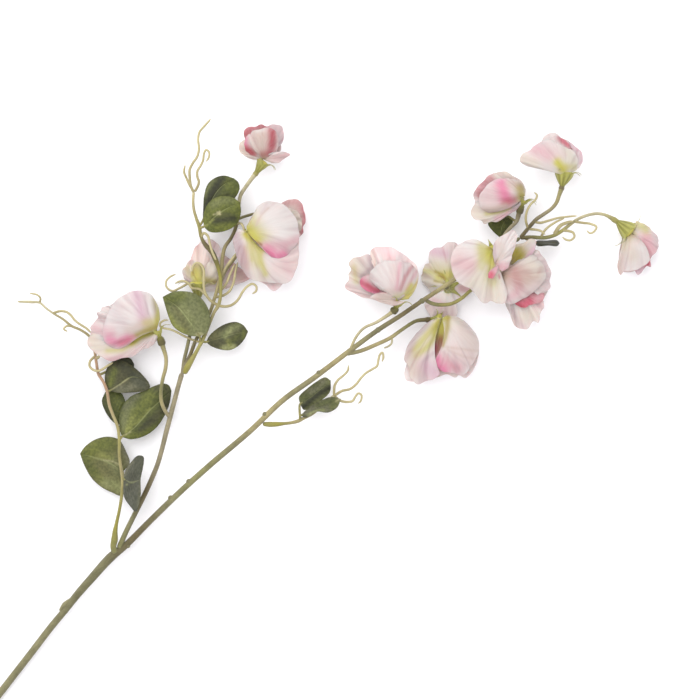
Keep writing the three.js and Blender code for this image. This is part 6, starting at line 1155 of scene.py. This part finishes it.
# ---- calyxes --------------------------------------------------------------------------------
CUP_FOOT_MM = 1.4
CUP_RINGS, CUP_SIDES, CUP_RIBS = 18, 60, 10
CUP_PROFILE = ([0, 0.35, 0.75, 1], [0.56, 0.88])  # heights, and the radii between foot and mouth
PAD_DOME = 0.35  # how far the petal feet bulge from the mouth of a cup, as a share of its radius
FOOT_DOME = -0.15  # the same for the cup's foot
DOME_RINGS = 4
SEPAL_COUNT, SEPAL_ROWS, SEPAL_COLS = 5, 25, 8
SEPAL_MM, SEPAL_LENGTH_MM, SEPAL_WIDTH_MM = 0.4, 8.5, 3.0
SEPAL_ROOT = (0.7, 0.72)  # where a tooth starts: shares of the mouth's radius and of the cup's length
SEPAL_BEND = (0.9, 1.6)  # how it curls outwards, in radians at its root and gained along it
SEPAL_CROWN_MM = 0.45
SHORT_TEETH = dict(bloom_03=0.35, bloom_08=0.5, bloom_09=0.6)  # share of the length where petals hide them
# calyxes painted in their lit colour only, without painted shade
PALE_CALYXES = ("bloom_03", "bloom_09")
# Sleeve between the stalk and the cup of a bloom: length in mm, swelling and shade.
COLLARS = dict(bloom_01=(4.6, 1.15, "dark_olive"), bloom_06=(3.4, 1.5, "dark_olive"),
               bloom_08=(3.4, 1.1, "brown"), bloom_11=(5.0, 1.2, "dark_olive"),
               bloom_12=(2.4, 1.1, "brown"), bloom_13=(4.0, 1.0, "yellow_olive"))
PLAIN_COLLAR = (1.8, 1.0, "yellow_olive")


def build_collar(soup, bloom, axis):
    foot = at(bloom["foot"])
    route, radii = min(MAIN_STEM_BRANCHES + SIDE_STEM_BRANCHES,
                       key=lambda branch: np.linalg.norm(at(branch[0][-1]) - foot))
    curve = Curve([at(p) for p in route])
    length, swell, shade = COLLARS.get(bloom["name"], PLAIN_COLLAR)
    length = min(length, 0.8 * curve.lengths[-1])
    shares = 1 - np.linspace(length, 0.3, 9) / curve.lengths[-1]
    points = np.concatenate([curve.even(shares), [foot + 0.6 * axis, foot + 1.2 * axis]])
    bulge = np.sin(np.pi * np.linspace(0.03, 0.97, len(points))) ** 0.7
    tube(soup, np.column_stack([*grid_of(points), points[:, 2]]), radii[-1] * (0.9 + (swell - 0.8) * bulge),
         *COLLAR_MESH, shades(f"{shade} {shade} calyx_dark"), RIB_SHARE)


def build_calyx(bloom, material, rng):
    """A turned and ribbed cup with a sleeve below it, petal feet in its mouth and five bent teeth."""
    base, top, mm = at(bloom["foot"]), at(bloom["mouth"]), bloom["mm"]
    length = np.linalg.norm(top - base)
    axis = (top - base) / length
    turn = np.array(Vector((0, 1, 0)).rotation_difference(Vector(axis)).to_matrix()).T
    light, tip = SHADES["calyx_light"], SHADES["sepal_tip"]
    dark = light if bloom["name"] in PALE_CALYXES else SHADES["calyx_dark"]
    soup = Soup()
    angle = np.linspace(0, 2 * np.pi, CUP_SIDES, endpoint=False)[None, :]
    share = np.linspace(0, 1, CUP_RINGS + 1)[:, None]
    heights, middle = CUP_PROFILE
    width = np.interp(share, heights, [CUP_FOOT_MM, *(part * mm for part in middle), mm])
    rib = np.cos(CUP_RIBS * angle + 0.4 * np.sin(2 * angle)) * np.sin(np.pi * share) ** 0.5
    radius = width * (1 + 0.05 * rib)
    cup = np.stack([radius * np.cos(angle), share * length + 0 * angle, radius * np.sin(angle)], axis=2)
    blotch = 0.12 * rng.standard_normal((1, CUP_SIDES))
    # painted light: highlights on the ribs and shade in the valleys, darker towards the foot, with random
    # blotches of real tone
    painted_light = np.clip(0.15 + 0.6 * share + 0.35 * rib + blotch, 0, 1)[..., None]
    coord = np.stack(np.broadcast_arrays(angle / (2 * np.pi), share * length * LAY_PER_MM), axis=2)
    soup.add(cup.reshape(-1, 3) @ turn + base, ring_quads(CUP_RINGS, CUP_SIDES)[:, TURNED],
             (dark * (1 - painted_light) + light * painted_light).reshape(-1, 3), coord.reshape(-1, 2))
    # painted shade: the domed foot of the cup takes the shaded colour; the petal feet are yellow
    for row, dome, shade in ((0, FOOT_DOME, dark), (CUP_RINGS, PAD_DOME, TINTS["yellow"])):
        way = -1 if dome < 0 else 1
        centre = cup[row].mean(axis=0)
        rows = [centre + (cup[row] - centre) * math.sin(a) + [0, dome * mm * math.cos(a), 0]
                for a in np.linspace(0.5 * np.pi, 0, DOME_RINGS + 1)[:-1]]
        soup.add(np.concatenate(rows) @ turn + base,
                 ring_quads(len(rows) - 1, CUP_SIDES)[:, TURNED][:, ::way], shade)
        lid = np.concatenate([(centre + [0, dome * mm, 0])[None], rows[-1]])
        soup.add(lid @ turn + base, [(0, 1 + b, 1 + a)[::way] for a, b in neighbours(CUP_SIDES)], shade)
    build_collar(soup, bloom, axis)
    shown = SHORT_TEETH.get(bloom["name"], 1.0)
    tooth = SEPAL_LENGTH_MM * shown
    s = np.linspace(0, 1, SEPAL_ROWS + 1)[:, None]  # out along a tooth
    w = np.linspace(-1, 1, SEPAL_COLS + 1)[None, :]  # across it
    for k in range(SEPAL_COUNT):  # a tapering blade that curls outwards, with a raised middle
        around = 2 * math.pi * (k + 0.5) / SEPAL_COUNT
        opening = SEPAL_BEND[0] + SEPAL_BEND[1] * s
        reach = mm * SEPAL_ROOT[0] + tooth * (1 - np.cos(opening * s * 0.8)) * 0.55 + s * 2.2 * shown
        rise = length * SEPAL_ROOT[1] + tooth * 0.42 * np.sin(opening * s)
        half = 0.5 * SEPAL_WIDTH_MM * (1 - s) ** 0.95 * (1 + 0.25 * np.sin(np.pi * s)) + 0.05
        side = w * half + (0.8 * rng.random() - 0.4) * s ** 2 * 3
        lift = reach + SEPAL_CROWN_MM * (1 - w ** 2) * np.sin(np.pi * np.clip(s, 0, 1)) ** 0.5
        grid = np.stack(np.broadcast_arrays(
            lift * math.cos(around) - side * math.sin(around), rise + 0 * w,
            lift * math.sin(around) + side * math.cos(around)), axis=2)
        # painted light: each tooth is lighter along its raised middle and darker at its edges
        painted_light = np.clip(0.95 - 0.35 * np.abs(w) + 0.1 * np.cos(9 * w), 0, 1)[..., None]
        pale = smooth(s, 0.45, 1.0)[..., None]
        tone = ((dark * (1 - painted_light) + light * painted_light) * (1 - pale) + tip * pale).reshape(-1, 3)
        add_sheet(soup, grid @ turn + base, SEPAL_MM * (1 - 0.5 * s), tone, (w * 0.1, s * 0.85))
    soup.mesh(bloom["name"] + "_calyx", material, "calyx")


# ---- leaves ---------------------------------------------------------------------------------
LEAF_MM, LEAF_STALK_MM = 0.42, 0.75
LEAF_STALK_TAPER = (0.7, 1, 1.1)
LEAF_END = 0.004  # a blade starts and ends just short of its points
LEAF_ROWS, LEAF_COLS = 56, 44
LEAF_VEINS = 9
# Relief in mm of a leaf 8 mm or more from midrib to margin; a narrower one has less.
BEND_MM, WAVE_MM, VEIN_MM, GROOVE_MM, FULL_WIDTH_MM = 0.55, 0.35, 0.10, 0.28, 8


def build_leaf(name, midrib, left, right, stalk, material, rng):
    base, tip = midrib[0], midrib[-1]
    rib, left, right = [Curve([at(p) for p in line]) for line in (
        midrib, [base, *left, tip], [base, *right, tip])]
    s = np.linspace(LEAF_END, 1 - LEAF_END, LEAF_ROWS + 1)[:, None]
    x = np.linspace(-1, 1, LEAF_COLS + 1)[None, :]
    off = np.abs(x)
    spine = rib.even(s.ravel())[:, None]
    edges = np.where((x < 0)[..., None], left.even(s.ravel())[:, None], right.even(s.ravel())[:, None])
    grid = spine + (edges - spine) * off[..., None]
    size = np.clip(np.linalg.norm(edges - spine, axis=2) / FULL_WIDTH_MM, 0, 1)
    bend = BEND_MM * size * np.sin(np.pi * off)
    wave = WAVE_MM * size * off ** 3 * ripple(rng, (2, 3, 5), s)
    veins = -VEIN_MM * size * np.cos(2 * np.pi * LEAF_VEINS * (s - 0.30 * off)) * np.abs(np.sin(np.pi * x))
    groove = -GROOVE_MM * np.exp(-(off / 0.05) ** 2) * size
    grid = grid + (bend + wave + veins + groove)[..., None] * np.array([0, 0, 1.0])
    ground, *strokes = LEAF_STROKES[name]
    tone = np.tile(LEAF_SHADES[ground], (grid.shape[0] * grid.shape[1], 1))
    tone = paint_strokes(tone, grid, strokes, LEAF_SHADES)
    rim = np.maximum(smooth(off, 0.94, 1.0), smooth(np.abs(2 * s - 1), 0.96, 1.0)).ravel()
    soup = Soup()
    add_sheet(soup, grid, LEAF_MM * (1 - 0.5 * off ** 6), tone * (1 - 0.3 * rim[:, None]), (x, s))
    start = [0.25 * a + 0.75 * b for a, b in zip(midrib[1], base)]
    tube(soup, [start, *stalk], [LEAF_STALK_MM * part for part in LEAF_STALK_TAPER], *LEAF_STALK_MESH,
         LEAF_STALK_SHADES)
    soup.mesh(name, material, "leaf")


# ---- stems ----------------------------------------------------------------------------------
TENDRIL_SWELL = 1.2  # tendrils are a fifth thicker than in the solids, as the photograph shows them
PETAL_SEED, CALYX_SEED, LEAF_SEED = 100, 200, 300


def add_tendrils(soup, tendrils):
    for route, radii in tendrils:
        tube(soup, route, TENDRIL_SWELL * np.array(radii), *TENDRIL_MESH, TENDRIL_SHADES, tip=True)


def build_stems():
    stem = stem_material("stem_skin", roughness=0.65, contrast=0.16)
    twig = stem_material("twig_skin", roughness=0.6, contrast=0.12)
    main, side = Soup(), Soup()
    tube(main, *MAIN_STEM, *MAIN_MESH, MAIN_STEM_SHADES, RIB_SHARE)
    tube(main, *LEAF_SCAR, *SCAR_MESH, shades("grey_olive"))
    for place in STEM_BUMPS:
        knob(main, at(place), STEM_BUMP_MM, SHADES["grey_olive"])
    tube(side, *SIDE_STEM, *SIDE_MESH, SIDE_STEM_SHADES, RIB_SHARE)
    for name, soup, branches, tones, tendrils in (
            ("main_stem", main, MAIN_STEM_BRANCHES, MAIN_BRANCH_SHADES, TIP_TENDRILS),
            ("side_stem", side, SIDE_STEM_BRANCHES, SIDE_BRANCH_SHADES, SIDE_STEM_TENDRILS)):
        for branch, tone in zip(branches, tones):
            tube(soup, *branch, *BRANCH_MESH, tone, RIB_SHARE)
        add_tendrils(soup, tendrils)
        soup.mesh(name, stem, "stem")
    for name, (axis, tendrils) in TWIGS.items():
        soup = Soup()
        tube(soup, *axis, *TWIG_MESH, TWIG_SHADES[name], RIB_SHARE)
        add_tendrils(soup, tendrils)
        soup.mesh(name, twig, "twig")


def build_spray():
    build_stems()
    petal, leaf = petal_material(), leaf_material()
    calyx = stem_material("calyx_skin", roughness=0.5, contrast=0.08)
    for index, bloom in enumerate(BLOOMS):
        build_petals(bloom, petal, np.random.default_rng(PETAL_SEED + index))
        build_calyx(bloom, calyx, np.random.default_rng(CALYX_SEED + index))
    for index, (name, lines) in enumerate(LEAVES.items()):
        build_leaf(name, *lines, leaf, np.random.default_rng(LEAF_SEED + index))


# ---- studio ---------------------------------------------------------------------------------
LENS_MM, SENSOR_MM = 200.0, 36.0
PICTURE_HEIGHT = 0.017  # the level at which the picture is as wide as the photograph, in metres
WORLD_COLOUR, WORLD_STRENGTH = (1.0, 0.99, 1.0, 1), 1.08
# Place from the middle of the picture, width and power of each lamp.
LAMPS = dict(key=((-0.6, 0.8, 1.7), 1.9, 28.0), fill=((1.2, -0.7, 1.4), 1.6, 4.0))
FLOOR_WIDTH, FLOOR_DROP = 12, 0.0002


def build_studio():
    scene = bpy.context.scene
    scene.view_settings.view_transform = "Standard"  # the default one greys the near-white petals and floor
    middle = Vector((*at((*PICTURE_MIDDLE, 0))[:2] * MM, 0.0))
    distance = PICTURE_STEPS * GRID_MM * MM * LENS_MM / SENSOR_MM
    camera = bpy.data.cameras.new("camera")
    camera.lens, camera.sensor_width, camera.clip_end = LENS_MM, SENSOR_MM, 50
    viewer = bpy.data.objects.new("camera", camera)
    viewer.location = middle + Vector((0, 0, distance + PICTURE_HEIGHT))
    scene.collection.objects.link(viewer)
    scene.camera = viewer

    scene.world = bpy.data.worlds.new("studio")
    scene.world.use_nodes = True
    sky = scene.world.node_tree.nodes["Background"]
    sky.inputs["Color"].default_value = WORLD_COLOUR
    sky.inputs["Strength"].default_value = WORLD_STRENGTH
    for name, (place, size, power) in LAMPS.items():
        light = bpy.data.lights.new(name, "AREA")
        light.size, light.energy = size, power
        lamp = bpy.data.objects.new(name, light)
        lamp.location = middle + Vector(place)
        lamp.rotation_euler = (middle - lamp.location).to_track_quat("-Z", "Y").to_euler()
        scene.collection.objects.link(lamp)

    bpy.ops.mesh.primitive_plane_add(size=FLOOR_WIDTH, location=(middle.x, middle.y, -FLOOR_DROP))
    floor = bpy.context.object
    floor.name = "floor"
    paper, tree, shader = new_material("paper", roughness=0.9, specular=0.1)
    grain = node(tree, "ShaderNodeTexNoise", Scale=3.0, Detail=2.0).outputs["Fac"]
    white = ramp(tree, grain, (0.3, (0.95, 0.945, 0.965)), (0.7, (0.96, 0.955, 0.97)))
    feed(tree, shader.inputs["Base Color"], white)
    floor.data.materials.append(paper)


build_spray()
build_studio()
bpy.context.view_layer.update()
